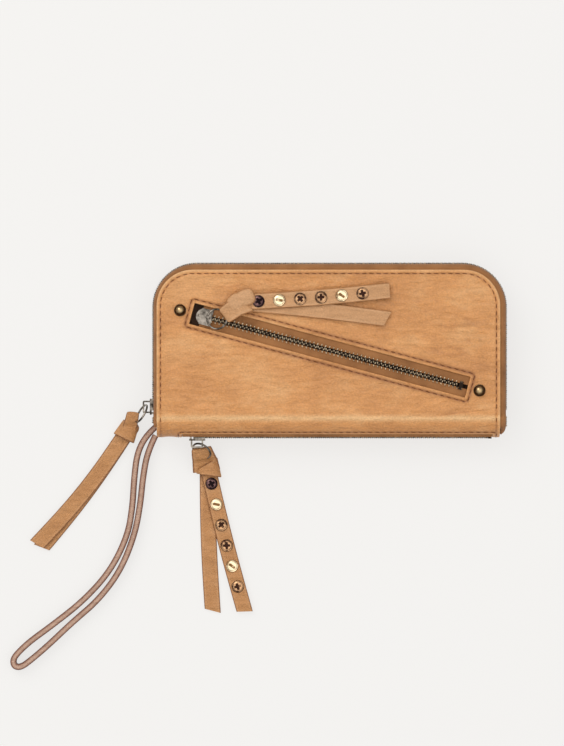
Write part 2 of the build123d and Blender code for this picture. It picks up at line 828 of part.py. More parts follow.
with BuildPart() as coin_pocket_front_wall:
    with BuildSketch(Plane.XY.offset(coin_z - coin_room / 2)):
        with Locations(((coin_left + coin_right) / 2, (coin_y + coin_end) / 2)):
            Rectangle(coin_right - coin_left, coin_end - coin_y)
    extrude(amount=coin_room + coin_wall)
    with BuildSketch(Plane.XY.offset(coin_z - coin_room / 2)):
        with Locations(((coin_left + coin_right) / 2, (coin_y + coin_end - coin_wall) / 2)):
            Rectangle(coin_right - coin_left - 2 * coin_wall, coin_end - coin_y - coin_wall)
    extrude(amount=coin_room, mode=Mode.SUBTRACT)
finish(coin_pocket_front_wall, "coin_pocket_front_wall")


def coin_collar(side, end_y, end_z):
    """Lining from the spine zip's sewn tape to the coin pocket's mouth."""
    start_across = sewn_across - collar_inset
    start_y = spine_y - sqrt((sewn_radius - tape) ** 2 - start_across**2) + collar_sink
    with BuildPart() as collar:
        with BuildSketch(Plane.YZ.offset((coin_left + coin_right) / 2)):
            with BuildLine():
                Polyline((start_y, mid_z + side * start_across), (end_y, end_z))
            trace(line_width=lining)
        extrude(amount=(coin_right - coin_left) / 2, both=True)
    return collar


# The upper collar stops short, out of the way of the pocket as it swings up with the cover.
coin_collar_lower = coin_collar(-1, coin_y - collar_clear, coin_z - coin_half - collar_clear)
finish(coin_collar_lower, "coin_collar_lower")

coin_collar_upper = coin_collar(1, coin_y - coin_half, coin_z + coin_half + collar_clear)
finish(coin_collar_upper, "coin_collar_upper")

# ---------------------------------------------------------------- sliders, rings and tassels
body_shape = slider_body()
bail_shape = slider_bail()
hang_drop = mid_z - hanging_wire_height

# shift is along the bail; turn is the sleeve's place round the ring; upper and lower are the tails' ends,
# measured from the middle of the slider
pulls = {
    "main": {
        "frame": main_zip_frame,
        "shift": 0.0,
        "heading": 230.0,
        "drop": hang_drop,
        "lean": 20.0,
        "turn": 0.0,
        "tail_heading": 231.0,
        "knot_offset": main_knot_offset,
        "surface": 0.0,
        "upper": (-66.7, -77.8),
        "lower": (-64.1, -79.6),
        "cuts": (-2.0, -3.0),
        "rivets": None,
    },
    "spine": {
        "frame": spine_zip_frame,
        "shift": 0.0,
        "heading": -58.0,
        "drop": hang_drop,
        "lean": 45.0,
        "turn": 0.0,
        "tail_heading": -80.0,
        "knot_offset": spine_knot_offset,
        "surface": 0.0,
        "upper": (26.8, -99.3),
        "lower": (8.7, -99.0),
        "cuts": (2.2, 3.0),
        "rivets": (spine_first_rivet, spine_rivet_pitch),
    },
    "pocket": {
        "frame": pocket_zip_frame,
        "shift": front_ring_shift,
        "heading": -9.0,
        "drop": 0.0,
        "lean": 90.0,
        "turn": 50.0,
        "tail_heading": 41.0,
        "knot_offset": front_knot_offset,
        "surface": wallet_thickness,
        "upper": (104.0, 14.6),
        "lower": (102.9, -1.2),
        "cuts": (0.3, 3.5),
        "rivets": (front_first_rivet, front_rivet_pitch),
    },
}

for name, pull in pulls.items():
    finish(placed(body_shape, pull["frame"]), f"{name}_slider_body")
    finish(placed(bail_shape, pull["frame"]), f"{name}_slider_bail")
    ring_frame = pull_frame(
        pull["frame"], pull["shift"], pull["heading"], pull["drop"], pull["lean"]
    )
    finish(pull_ring(ring_frame), f"{name}_pull_ring")
    wire_frame = sleeve_frame(ring_frame, pull["turn"])
    slider_at = pull["frame"].origin
    upper = (slider_at.X + pull["upper"][0], slider_at.Y + pull["upper"][1])
    lower = (slider_at.X + pull["lower"][0], slider_at.Y + pull["lower"][1])
    tail_heading = pull["tail_heading"]
    knot_offset = pull["knot_offset"]
    surface = pull["surface"]
    places = []
    if pull["rivets"]:
        places = rivet_places(wire_frame, tail_heading, knot_offset, upper, *pull["rivets"])
        finish(rivet_set(surface, places), f"{name}_tassel_rivets")
    tied = tassel(wire_frame, tail_heading, knot_offset, surface, upper, lower, pull["cuts"], places)
    finish(tied, f"{name}_tassel")
    print(name, "bail", ring_frame.origin, "wire", ring_frame.y_dir)
    print(name, "sleeve", wire_frame.origin, "axis", wire_frame.y_dir)

# ---------------------------------------------------------------- wrist strap
# Both ends are sewn in at the lower left corner; the strip stands on its edge. The points are measured
# from the panel's left edge and the spine's zip line.
strap_route_points = [
    (-strap_clear, 5.0),
    (-6.0, 0.8),
    (-11.4, -9.2),
    (-13.2, -23.7),
    (-14.1, -39.7),
    (-16.8, -56.2),
    (-26.5, -76.2),
    (-42.1, -93.4),
    (-59.8, -107.2),
    (-71.8, -115.9),
    (-78.0, -121.6),
    (-81.7, -126.1),
    (-81.0, -130.2),
    (-77.0, -130.8),
    (-70.6, -125.9),
    (-61.3, -117.9),
    (-48.0, -105.2),
    (-33.5, -92.9),
    (-20.4, -76.2),
    (-12.2, -55.7),
    (-9.1, -38.7),
    (-7.8, -23.2),
    (-5.6, -8.8),
    (-strap_clear, 0.3),
]
strap_points = [(panel_left + along, across - zip_y) for along, across in strap_route_points]


def bend_radii(points):
    """The largest arc that fits each corner: 0.45 of the shorter run over the tangent of half the turn."""
    radii = []
    for before, corner, after in zip(points, points[1:], points[2:]):
        run_in = Vector(*corner) - Vector(*before)
        run_out = Vector(*after) - Vector(*corner)
        half_turn = radians(run_in.get_angle(run_out)) / 2
        radii.append(0.45 * min(run_in.length, run_out.length) / tan(half_turn))
    return radii


strap_radii = bend_radii(strap_points)
print("strap radii", [round(radius, 1) for radius in strap_radii])
with BuildPart() as wrist_strap:
    with BuildSketch(Plane.XY.offset(lie_clear)):
        with BuildLine() as strap_route:
            FilletPolyline(*strap_points, radius=strap_radii)
        trace(line_width=strap)
    extrude(amount=strap_width)
finish(wrist_strap, "wrist_strap")
strap_length = sum(edge.length for edge in strap_route.edges())
print("strap length", round(strap_length, 1), "volume", round(wrist_strap.part.volume))
print("section times length", round(strap_length * strap * strap_width))
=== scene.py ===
# %% [markdown]
# # A long zip-around leather wallet
# The wallet lies on its back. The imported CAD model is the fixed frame: it says where every zip,
# ring, tassel and rivet is, and how it moves. Each cell below gives one piece or one finish its
# looks.

# %% Load the frame
import json
from functools import partial
from math import radians
import bmesh
import bpy
import numpy as np
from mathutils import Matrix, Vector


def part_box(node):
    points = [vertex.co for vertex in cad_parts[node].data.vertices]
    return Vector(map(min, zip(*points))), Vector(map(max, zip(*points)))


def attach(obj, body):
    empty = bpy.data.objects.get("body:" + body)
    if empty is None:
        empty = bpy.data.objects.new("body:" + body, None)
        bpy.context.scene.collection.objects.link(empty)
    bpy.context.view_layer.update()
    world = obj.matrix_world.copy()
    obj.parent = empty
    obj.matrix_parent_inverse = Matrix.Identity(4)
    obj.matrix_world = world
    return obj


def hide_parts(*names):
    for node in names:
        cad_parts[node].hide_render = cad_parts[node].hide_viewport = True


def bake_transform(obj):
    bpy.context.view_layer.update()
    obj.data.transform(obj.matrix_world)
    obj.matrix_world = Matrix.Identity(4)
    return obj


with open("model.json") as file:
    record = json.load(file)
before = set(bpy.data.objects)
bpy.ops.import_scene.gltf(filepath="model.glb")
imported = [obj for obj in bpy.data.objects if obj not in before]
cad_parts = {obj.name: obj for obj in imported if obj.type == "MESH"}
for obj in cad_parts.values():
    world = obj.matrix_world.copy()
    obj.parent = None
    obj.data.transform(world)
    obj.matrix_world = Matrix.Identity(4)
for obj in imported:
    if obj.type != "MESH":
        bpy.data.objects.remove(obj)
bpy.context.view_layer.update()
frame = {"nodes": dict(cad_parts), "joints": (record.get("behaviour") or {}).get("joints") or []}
nodes = frame["nodes"]
joint_of = {joint["child"]: joint for joint in frame["joints"]}

# %% [markdown]
# ## Units and small helpers
# A maker thinks in millimetres, and Blender in metres, so every shape is worked out in millimetres
# and scaled once, when its mesh is made. A mesh is a table of points and a table of faces. numpy
# works out the whole table at once, which is both quicker and shorter than adding points one by one.

# %% Helpers for lines and directions
MM = 0.001
UP = np.array([0.0, 0.0, 1.0])


def node_box(name):
    """Lowest and highest corner of a CAD node, in millimetres."""
    low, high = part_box(name)
    return np.array(low) / MM, np.array(high) / MM


def unit(vectors):
    """Each vector divided by its own length."""
    vectors = np.asarray(vectors, float)
    return vectors / np.linalg.norm(vectors, axis=-1, keepdims=True)


def flat_direction(heading):
    """Unit vector in the plane of the table, from a heading in degrees."""
    return np.array([np.cos(radians(heading)), np.sin(radians(heading)), 0.0])


def at_level(flat, level):
    """Points or directions of the plane, with the same z for all of them."""
    return np.concatenate([flat, np.full((len(flat), 1), float(level))], 1)


def run_along(line):
    """Distance of each point from the line's start: the running sum of the steps' lengths."""
    return np.concatenate([[0], np.cumsum(np.linalg.norm(np.diff(line, axis=0), axis=1))])


def left_of(line):
    """Unit vectors to the left of a flat line: its own direction, turned a quarter."""
    forward = unit(np.gradient(line, axis=0))
    return np.stack([-forward[:, 1], forward[:, 0]], -1)


def curve_through(points, count):
    """Catmull-Rom curve: each piece is the cubic that leaves and arrives along its neighbours."""
    p = np.asarray(points, float)
    p = np.concatenate([[2 * p[0] - p[1]], p, [2 * p[-1] - p[-2]]])
    u = np.linspace(0, len(p) - 3, count)
    k = np.minimum(u.astype(int), len(p) - 4)
    t = (u - k)[:, None]
    a, b, c, d = p[k], p[k + 1], p[k + 2], p[k + 3]
    return 0.5 * (2 * b + (c - a) * t + (2 * a - 5 * b + 4 * c - d) * t**2 + (3 * b - a - 3 * c + d) * t**3)


def smooth_step(value, low, high):
    """0 below low, 1 above high, 3t^2 - 2t^3 between."""
    t = np.clip((value - low) / (high - low), 0, 1)
    return t * t * (3 - 2 * t)


def bell(value, middle, width):
    """1 at the middle, fading as exp(-(distance / width)^2)."""
    return np.exp(-(((value - middle) / width) ** 2))


def lattice_noise(x, y, cell_x, cell_y, seed):
    """Smooth noise from 0 to 1: random values on a lattice, blended by 3t^2 - 2t^3 inside each cell."""
    table = np.random.default_rng(seed).random((64, 64))
    u, v = np.asarray(x, float) / cell_x, np.asarray(y, float) / cell_y
    i, j = np.floor(u).astype(int), np.floor(v).astype(int)
    s, t = u - i, v - j
    s, t = s * s * (3 - 2 * s), t * t * (3 - 2 * t)
    at = lambda a, b: table[(i + a) % 64, (j + b) % 64]
    return (at(0, 0) * (1 - s) + at(1, 0) * s) * (1 - t) + (at(0, 1) * (1 - s) + at(1, 1) * s) * t


# %% [markdown]
# A grid of points becomes a surface when each point is joined to its neighbours. A closed tube gets
# a cap on both ends, and a sheet gets a second face and a wall round its edge, because every piece
# is a closed body.

# %% Helpers for meshes
def quads(rows, cols, closed_cols=False):
    """Faces of a grid: each joins a point to its right, upper right and upper neighbours."""
    i = np.arange(rows - 1)[:, None]
    j = np.arange(cols if closed_cols else cols - 1)[None, :]
    right = (j + 1) % cols
    grid = [i * cols + j, i * cols + right, (i + 1) * cols + right, (i + 1) * cols + j]
    return np.stack([np.broadcast_to(g, (i.size, j.size)) for g in grid], -1).reshape(-1, 4)


def tube_faces(rows, cols):
    """Faces of a row of closed rings, with a cap on each end."""
    caps = [list(range(cols))[::-1], list(range((rows - 1) * cols, rows * cols))]
    return quads(rows, cols, closed_cols=True).tolist() + caps


def shell_faces(rows, cols, keep=slice(None)):
    """Faces of a closed shell: the kept faces of a grid, the same ones turned over on a second grid,
    and a wall along every edge that only one face has."""
    face = quads(rows, cols)[keep]
    edges = np.concatenate([face[:, [k, (k + 1) % 4]] for k in range(4)])
    key, back_key = edges @ [rows * cols, 1], edges @ [1, rows * cols]
    free = edges[~np.isin(key, back_key)]
    under = rows * cols
    walls = np.stack([free[:, 1], free[:, 0], free[:, 0] + under, free[:, 1] + under], -1)
    return np.concatenate([face, face[:, ::-1] + under, walls])


def repeat_faces(faces, count, step):
    """The same faces for count shapes whose points follow each other, step points to a shape."""
    return [[index + first for index in face] for first in range(0, count * step, step) for face in faces]


def join_shapes(shapes):
    """One shape from several. A shape is its points, its faces and, if it has them, its values of wear and
    painted light and shade.
    """
    firsts = np.cumsum([0] + [len(shape[0]) for shape in shapes]).tolist()
    faces = [[index + first for index in face] for first, shape in zip(firsts, shapes) for face in shape[1]]
    tables = [np.concatenate([shape[part] for shape in shapes]) for part in (0, 2)[: len(shapes[0]) - 1]]
    return (tables[0], faces, *tables[1:])


# %% [markdown]
# A mesh is made from its tables in one call. Wear, painted light and shade, and the weave's layout are
# stored with the points, so that the materials can read them. A finished piece rides on the body that
# carries it, and stands for CAD nodes.

# %% Helpers for pieces
def make_piece(name, points, faces, material, uv=None, rub=None, sharp=50):
    """A mesh object at the origin. uv and the values of wear and painted light and shade are given per
    point, uv in millimetres.
    """
    mesh = bpy.data.meshes.new(name)
    mesh.from_pydata((np.asarray(points) * MM).tolist(), [], [list(map(int, face)) for face in faces])
    if rub is not None:
        mesh.attributes.new("rub", "FLOAT", "POINT").data.foreach_set("value", np.float32(rub).ravel())
    if uv is not None:
        corners = np.zeros(len(mesh.loops), np.int32)
        mesh.loops.foreach_get("vertex_index", corners)
        flat = np.float32(np.asarray(uv)[corners] * MM).ravel()
        mesh.uv_layers.new(name="strip").data.foreach_set("uv", flat)
    mesh.shade_smooth()
    mesh.set_sharp_from_angle(angle=radians(sharp))
    mesh.materials.append(material)
    piece = bpy.data.objects.new(name, mesh)
    bpy.context.scene.collection.objects.link(piece)
    return piece


def face_out(piece):
    """Turns all faces of a closed mesh outwards."""
    work = bmesh.new()
    work.from_mesh(piece.data)
    bmesh.ops.recalc_face_normals(work, faces=work.faces)
    work.to_mesh(piece.data)
    work.free()
    return piece


def body_piece(name, points, faces, material, slot, body, stands_for, **more):
    """A closed piece that stands for CAD nodes and rides on a body."""
    piece = face_out(make_piece(name, points, faces, material, **more))
    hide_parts(stands_for)
    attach(piece, body)
    return piece


# %% [markdown]
# ## Colours and nodes
# Colours are written as the sRGB hex values that a paint chart would give, and one function turns
# them into the linear values that the renderer needs. One helper adds a node, sets its values and
# joins its links, so that a material reads as a short list of what happens to the surface.

# %% Helpers for materials
def paint(code):
    """sRGB hex to linear: c / 12.92 below 0.04045, else ((c + 0.055) / 1.055) ** 2.4."""
    values = np.array([int(code[i : i + 2], 16) for i in (1, 3, 5)]) / 255
    linear = np.where(values <= 0.04045, values / 12.92, ((values + 0.055) / 1.055) ** 2.4)
    return (*linear, 1.0)


def shade_of(code, share, other):
    """Colour part of the way from one paint to another, mixed in linear light."""
    return tuple(np.array(paint(code)) * (1 - share) + np.array(paint(other)) * share)


def set_inputs(owner, node, inputs):
    """Joins each named input to another node's output, or gives it a plain value."""
    for socket, value in inputs.items():
        if isinstance(value, bpy.types.NodeSocket):
            owner.node_tree.links.new(value, node.inputs[socket])
        else:
            node.inputs[socket].default_value = value


def add_node(owner, kind, inputs=None, ramp=None, **settings):
    """Adds one node to a material or a world, with its settings, inputs and colour stops."""
    made = owner.node_tree.nodes.new(kind)
    for setting, value in settings.items():
        setattr(made, setting, value)
    set_inputs(owner, made, inputs or {})
    if ramp:
        stops = made.color_ramp.elements
        while len(stops) < len(ramp):
            stops.new(0.5)
        for stop, (place, code) in zip(stops, ramp):
            stop.position = place
            stop.color = paint(code) if isinstance(code, str) else code
    return made


def new_material(name):
    """A new material, and its surface shader."""
    material = bpy.data.materials.new(name)
    material.use_nodes = True
    return material, material.node_tree.nodes["Principled BSDF"]


def in_millimetres(material, stretch=(1, 1, 1), source="Object"):
    """Pattern coordinates counted in millimetres, so that a scale of 1 / 5 repeats every 5 mm."""
    place = add_node(material, "ShaderNodeTexCoord")
    scale = tuple(1000 * s for s in stretch)
    inputs = {"Vector": place.outputs[source], "Scale": scale}
    return add_node(material, "ShaderNodeMapping", inputs).outputs["Vector"]


# %% [markdown]
# ## Camera, room and table
# The wallet is seen from straight above and from far away, so the camera looks down with hardly any
# perspective. One large soft light high on the upper left and a pale room give the faint shadows of
# a daylight studio. The room is bright overhead and greyer towards its walls, because domed metal
# mirrors the walls and looks flat in a room that is white all round.

# %% Camera and lights
CAMERA_HEIGHT = 2.8
FIELD_WIDTH = 0.3178  # what the camera sees, measured half way up the wallet
FIELD_MIDDLE = (-0.0268, -0.0127)
WALLET_MIDDLE = 0.013
SENSOR = 36

camera = bpy.data.objects.new("camera", bpy.data.cameras.new("camera"))
camera.location = (*FIELD_MIDDLE, CAMERA_HEIGHT + WALLET_MIDDLE)
camera.data.sensor_fit = "HORIZONTAL"
camera.data.sensor_width = SENSOR
camera.data.lens = SENSOR * CAMERA_HEIGHT / FIELD_WIDTH
bpy.context.scene.collection.objects.link(camera)
bpy.context.scene.camera = camera
bpy.context.scene.view_settings.view_transform = "Standard"


def soft_light(name, place, size, power, colour):
    """A square area light at a place, turned to look at the middle of the table."""
    light = bpy.data.lights.new(name, "AREA")
    light.size, light.energy, light.color = size, power, colour
    lamp = bpy.data.objects.new(name, light)
    lamp.location = place
    lamp.rotation_euler = lamp.location.to_track_quat("Z", "Y").to_euler()
    bpy.context.scene.collection.objects.link(lamp)


soft_light("window", (-1.0, 1.2, 1.5), 1.4, 14, (1.0, 0.985, 0.96))
soft_light("ceiling", (0.2, -0.1, 2.2), 2.4, 9, (0.98, 0.99, 1.0))
print("camera lens", round(camera.data.lens, 1), "mm")

# %% [markdown]
# The room is a colour ramp from the floor to straight overhead. The table is matt white card. It
# shines a little by itself, as card lit from all round looks, which keeps the shadows faint.

# %% Room and table
room = bpy.data.worlds.new("pale_room")
room.use_nodes = True
bpy.context.scene.world = room
WALL, CORNER, CEILING, OVERHEAD = ((grey, grey, grey, 1.0) for grey in (0.2, 0.36, 0.88, 1.0))
look = add_node(room, "ShaderNodeTexCoord")
height = add_node(room, "ShaderNodeSeparateXYZ", {"Vector": look.outputs["Generated"]})
shades = [(0.0, WALL), (0.35, CORNER), (0.7, CEILING), (1.0, OVERHEAD)]
tone = add_node(room, "ShaderNodeValToRGB", {"Fac": height.outputs["Z"]}, ramp=shades)
set_inputs(room, room.node_tree.nodes["Background"], {"Color": tone.outputs["Color"], "Strength": 1.07})

table_card, card_shader = new_material("matt_white_table")
card_look = {"Base Color": paint("#6d6b69"), "Roughness": 0.9}
card_look |= {"Emission Color": paint("#fffefc"), "Emission Strength": 0.72}
set_inputs(table_card, card_shader, card_look)
TABLE_HALF = 1500
table_points = np.array([(-1, -1, 0), (1, -1, 0), (1, 1, 0), (-1, 1, 0)]) * TABLE_HALF
table = make_piece("table", table_points, [[0, 1, 2, 3]], table_card)
print("table", 2 * TABLE_HALF, "mm wide")

# %% [markdown]
# ## Vegetable-tanned leather
# The wallet is cut from thin vegetable-tanned cowhide with a waxed, slightly glazed face. Four
# things tell the eye that it is leather: clouds of lighter and darker tan some centimetres wide,
# long shallow creases across the hide, a fine pebbled grain with cells of about a millimetre, and
# wax that is rubbed off wherever an edge stands proud. The first three are noise on object
# coordinates, and the creases are also darkened as painted shade. The last one follows the shape, so
# each mesh carries it as an attribute of its points, which also holds a painted highlight along the
# fold's ridge and painted shade in the seams, the creases and other hollows.

# %% Leather
CLOUD, CREASE = 22, 2.8  # millimetres across


def leather(name, deep, base, pale, grain=1.1, rough=0.46):
    """Clouded, creased and grained hide, darker in the creases as painted shade; paler where the mesh's
    attribute is above 0 (wear and painted highlight), darker where it is below (painted shade).
    """
    material, shader = new_material(name)
    add = partial(add_node, material)
    cloud = {"Vector": in_millimetres(material, (1, 1.6, 1)), "Scale": 1 / CLOUD}
    clouds = add("ShaderNodeTexNoise", cloud | {"Detail": 4.0, "Roughness": 0.6})
    tans = [(0.3, shade_of(base, 0.22, deep)), (0.5, base), (0.7, shade_of(base, 0.32, pale))]
    hide = add("ShaderNodeValToRGB", {"Fac": clouds.outputs["Fac"]}, ramp=tans)
    rubbed = add("ShaderNodeAttribute", attribute_name="rub").outputs["Fac"]
    colour = hide.outputs["Color"]
    # positive values of the attribute mix in the pale paint, for wear and painted highlight; negative ones
    # mix in the deep paint, for painted shade
    for sign, wear_and_painted_light in ((1.0, pale), (-1.0, deep)):
        signed = add("ShaderNodeMath", {0: rubbed, 1: sign}, operation="MULTIPLY").outputs[0]
        share = add("ShaderNodeMath", {0: signed, 1: 0.0}, operation="MAXIMUM", use_clamp=True)
        mixed = {"Factor": share.outputs[0], "A": colour, "B": paint(wear_and_painted_light)}
        colour = add("ShaderNodeMix", mixed, data_type="RGBA").outputs["Result"]
    crease = {"Vector": in_millimetres(material, (0.34, 1, 1)), "Scale": 1 / CREASE, "Detail": 6.0}
    creases = add("ShaderNodeTexNoise", crease | {"Roughness": 0.66, "Distortion": 0.5}).outputs["Fac"]
    pore = {"Vector": in_millimetres(material), "Scale": 1 / grain, "Randomness": 1.0}
    pores = add("ShaderNodeTexVoronoi", pore, feature="F1").outputs["Distance"]
    fold = add("ShaderNodeBump", {"Height": creases, "Distance": 0.0016, "Strength": 0.8}).outputs["Normal"]
    pebble = add("ShaderNodeBump", {"Height": pores, "Distance": 0.0003, "Strength": 0.55, "Normal": fold})
    # the pores vary the grain's colour; the creases darken the colour as painted shade; wax sets the
    # roughness
    grained, painted_crease_shade, wax = (
        add("ShaderNodeMapRange", {"Value": value, "From Min": a, "From Max": b, "To Min": c, "To Max": d})
        for value, a, b, c, d in (
            (pores, 0.1, 0.8, 1.06, 0.9),
            (creases, 0.3, 0.68, 0.9, 1.06),
            (creases, 0.3, 0.7, rough + 0.08, rough - 0.08),
        )
    )
    both = add("ShaderNodeMath", {0: grained.outputs[0], 1: painted_crease_shade.outputs[0]}, operation="MULTIPLY")
    tone = add("ShaderNodeHueSaturation", {"Color": colour, "Value": both.outputs[0]})
    looks = {"Base Color": tone.outputs["Color"], "Normal": pebble.outputs["Normal"]}
    looks |= {"Roughness": wax.outputs[0], "Specular IOR Level": 0.5}
    set_inputs(material, shader, looks)
    return material


skin_leather = leather("waxed_tan_cowhide", "#8f5628", "#d49355", "#e7b780", rough=0.4)
tassel_leather = leather("oiled_tan_strip", "#8e5b33", "#bd8550", "#cf9f72", grain=0.9, rough=0.55)
strap_leather = leather("burnished_strap_edge", "#6a3a26", "#a9806a", "#c9a992", grain=0.8, rough=0.5)
inner_leather = leather("smooth_brown_calf", "#6f4528", "#a06c43", "#b5825a", grain=0.6, rough=0.5)
print("leathers:", skin_leather.name, tassel_leather.name, strap_leather.name, inner_leather.name)

# %% [markdown]
# ## Cloth, thread and metal
# A zip tape is a narrow plain weave of spun polyester, dyed to go with the leather. The lining is a
# twill. Both get their weave from two crossed sine waves, drawn a little coarser than life, because
# real threads of 0.25 mm would be too fine to show.

# %% Cloth and thread
WAVE_PITCH = 0.314  # a wave texture of scale 1 repeats every 0.314 units


def woven(name, base, dark, thread=0.55, source="Object"):
    """Plain weave: two crossed waves, one a thread apart along the strip and one across it."""
    material, shader = new_material(name)
    add = partial(add_node, material)
    weave = {"Vector": in_millimetres(material, source=source), "Scale": WAVE_PITCH / thread}
    weave |= {"Distortion": 0.3, "Detail": 1.0}
    warp, weft = (add("ShaderNodeTexWave", weave, bands_direction=way).outputs["Fac"] for way in ("X", "Y"))
    both = add("ShaderNodeMath", {0: warp, 1: weft}, operation="MULTIPLY").outputs[0]
    fade = add("ShaderNodeTexNoise", {"Vector": in_millimetres(material), "Scale": 1 / 9, "Detail": 3.0})
    mixed = add("ShaderNodeMath", {0: both, 1: fade.outputs["Fac"]}, operation="ADD")
    colour = add("ShaderNodeValToRGB", {"Fac": mixed.outputs[0]}, ramp=[(0.25, dark), (0.92, base)])
    bump = add("ShaderNodeBump", {"Height": both, "Distance": 0.0002, "Strength": 0.6})
    looks = {"Base Color": colour.outputs["Color"], "Normal": bump.outputs["Normal"], "Roughness": 0.85}
    set_inputs(material, shader, looks | {"Sheen Weight": 0.15, "Specular IOR Level": 0.25})
    return material


zip_cloth = woven("spun_polyester_tape", "#a67245", "#6e4625", source="UV")
lining_cloth = woven("brown_twill_lining", "#5c402b", "#38251a", thread=0.8)
# the bag's cloth is painted dark, as painted shade inside the front pocket
shaded_pocket_cloth = woven("pocket_twill_painted_shade", "#4a3222", "#2a1b12", thread=0.8)
board_fibre = woven("pressed_fibre_board", "#a8967a", "#857458", thread=1.5)
linen_thread = woven("waxed_linen_thread", "#7a4626", "#522d17", thread=0.4)
print("cloths:", zip_cloth.name, lining_cloth.name, shaded_pocket_cloth.name, board_fibre.name, linen_thread.name)

# %% [markdown]
# The zips are antiqued brass: nearly black in the hollows, and rubbed bright with a painted glint on
# the tips. The sliders and rings are antiqued nickel, which is paler and greyer.

# %% Metal
def aged_metal(name, dark, bright, patch, cover, rough):
    """Cast metal with a dark patina: bright where noise is above cover, and where the mesh's attribute is
    1, which holds worn tips with painted glints, and painted highlights.
    """
    material, shader = new_material(name)
    add = partial(add_node, material)
    patches = {"Vector": in_millimetres(material), "Scale": 1 / patch, "Detail": 3.0, "Roughness": 0.55}
    noise = add("ShaderNodeTexNoise", patches)
    rubbed = add("ShaderNodeAttribute", attribute_name="rub")
    # the mesh's attribute adds the worn tips and the painted glints and highlights
    tips = add("ShaderNodeMath", {0: rubbed.outputs["Fac"], 1: 0.4}, operation="MULTIPLY")
    wear_and_painted_light = add("ShaderNodeMath", {0: noise.outputs["Fac"], 1: tips.outputs[0]}, operation="ADD").outputs[0]
    low, high = cover - 0.16, cover + 0.16
    colour = add("ShaderNodeValToRGB", {"Fac": wear_and_painted_light}, ramp=[(low, dark), (high, bright)])
    gloss = add(
        "ShaderNodeMapRange",
        {"Value": wear_and_painted_light, "From Min": low, "From Max": high, "To Min": rough + 0.15, "To Max": rough},
    )
    looks = {"Base Color": colour.outputs["Color"], "Roughness": gloss.outputs[0], "Metallic": 1.0}
    set_inputs(material, shader, looks)
    return material


zip_bronze = aged_metal("antiqued_zip_bronze", "#2a211b", "#a8947a", patch=2.2, cover=0.66, rough=0.34)
pocket_bronze = aged_metal("antiqued_pocket_bronze", "#3b2e25", "#cbb596", patch=2.2, cover=0.6, rough=0.3)
old_nickel = aged_metal("antiqued_nickel", "#37322c", "#a0968a", patch=3.6, cover=0.5, rough=0.26)
stud_brass = aged_metal("oxidised_stud_brass", "#4a3826", "#b89b72", patch=3.0, cover=0.5, rough=0.22)
bright_brass = aged_metal("rubbed_rivet_brass", "#7d5a36", "#f3dcb4", patch=2.5, cover=0.5, rough=0.2)
bronze = aged_metal("worn_rivet_bronze", "#38231c", "#c69a72", patch=2.5, cover=0.58, rough=0.22)
dark_bronze = aged_metal("oxidised_rivet_bronze", "#1d1417", "#6f5350", patch=2.5, cover=0.62, rough=0.22)
print("metals:", zip_bronze.name, old_nickel.name, stud_brass.name, bronze.name)

# %% [markdown]
# ## Where things are
# Some places are read from the CAD nodes, and the others are given here in millimetres.

# %% Places from the CAD model
skin_low, skin_high = node_box("back_and_spine_leather")
front_low, _ = node_box("front_leather")
THICKNESS = skin_high[2]
LEATHER = THICKNESS - front_low[2]
PANEL_LEFT, PANEL_RIGHT, PANEL_TOP = skin_low[0], skin_high[0], skin_high[1]
PANEL_CORNER = 20.5  # radius of the two upper corners
SPINE_RADIUS = THICKNESS / 2
FOLD_Y = skin_low[1] + SPINE_RADIUS
RIM_X, RIM_Y = 98.7, 48.3  # middle line of the zip-around chain
RIM_CORNER = 24.0
SLANT = radians(-15)
WINDOW_LONG, WINDOW_WIDE = 160.0, 12.0  # the slanted opening
SLOT_LEFT, SLOT_RIGHT, SLOT_HALF = -83.0, 91.5, 6.2  # ends and half width of the opening in the spine
SLANT_ALONG = np.array([np.cos(SLANT), np.sin(SLANT)])
SLANT_ACROSS = np.array([-np.sin(SLANT), np.cos(SLANT)])
print("panel", PANEL_LEFT, PANEL_RIGHT, PANEL_TOP, "fold", FOLD_Y, "leather", LEATHER)

# %% [markdown]
# ## The outer skin
# The front, the round spine and the back are one piece of hide on the real wallet. A single grid
# follows it from the top edge of the front, over the fold and round the spine to the back. Its rows
# run parallel to the top edge, then turn parallel to the slanted opening, then back parallel to the
# fold, so that both openings have grid lines along all their edges and need no cutting. Near every
# edge the lines close up, which gives the turned edge its roundness and the sewn line its furrow.

# %% Grid lines across the skin
EDGE_STEPS = np.array([0, 0.12, 0.3, 0.6, 1.0, 1.4, 1.75, 2.1, 2.5, 3.0, 3.7])


def lines(count, near=EDGE_STEPS, far=EDGE_STEPS):
    """Line k lies at p[k] * s + q[k] * length. The first ones keep their distance from the start,
    the last ones from the end, and count lines share out what lies between."""
    share = np.linspace(0, 1, count + 2)[1:-1]
    p = np.concatenate([near, (1 - share) * near[-1] - share * far[-1], -far[::-1]])
    q = np.concatenate([near * 0, share, far * 0 + 1])
    return p, q, near[-1] + far[-1]


def place_line(p, q, room, length):
    """Distance of a line from the start. s shrinks the edge distances where a strip is short."""
    s = np.clip(length / (1.3 * room + 1e-9), None, 1)
    return p * s + q * length


def window_line(x, side):
    """Height of the slanted opening's upper (+1) or lower (-1) edge line at x."""
    return np.tan(SLANT) * x + side * WINDOW_WIDE / 2 / np.cos(SLANT)


def even_lines(count):
    """Lines spread evenly, with none held near an edge."""
    return np.zeros(count), np.linspace(0, 1, count), 0.0


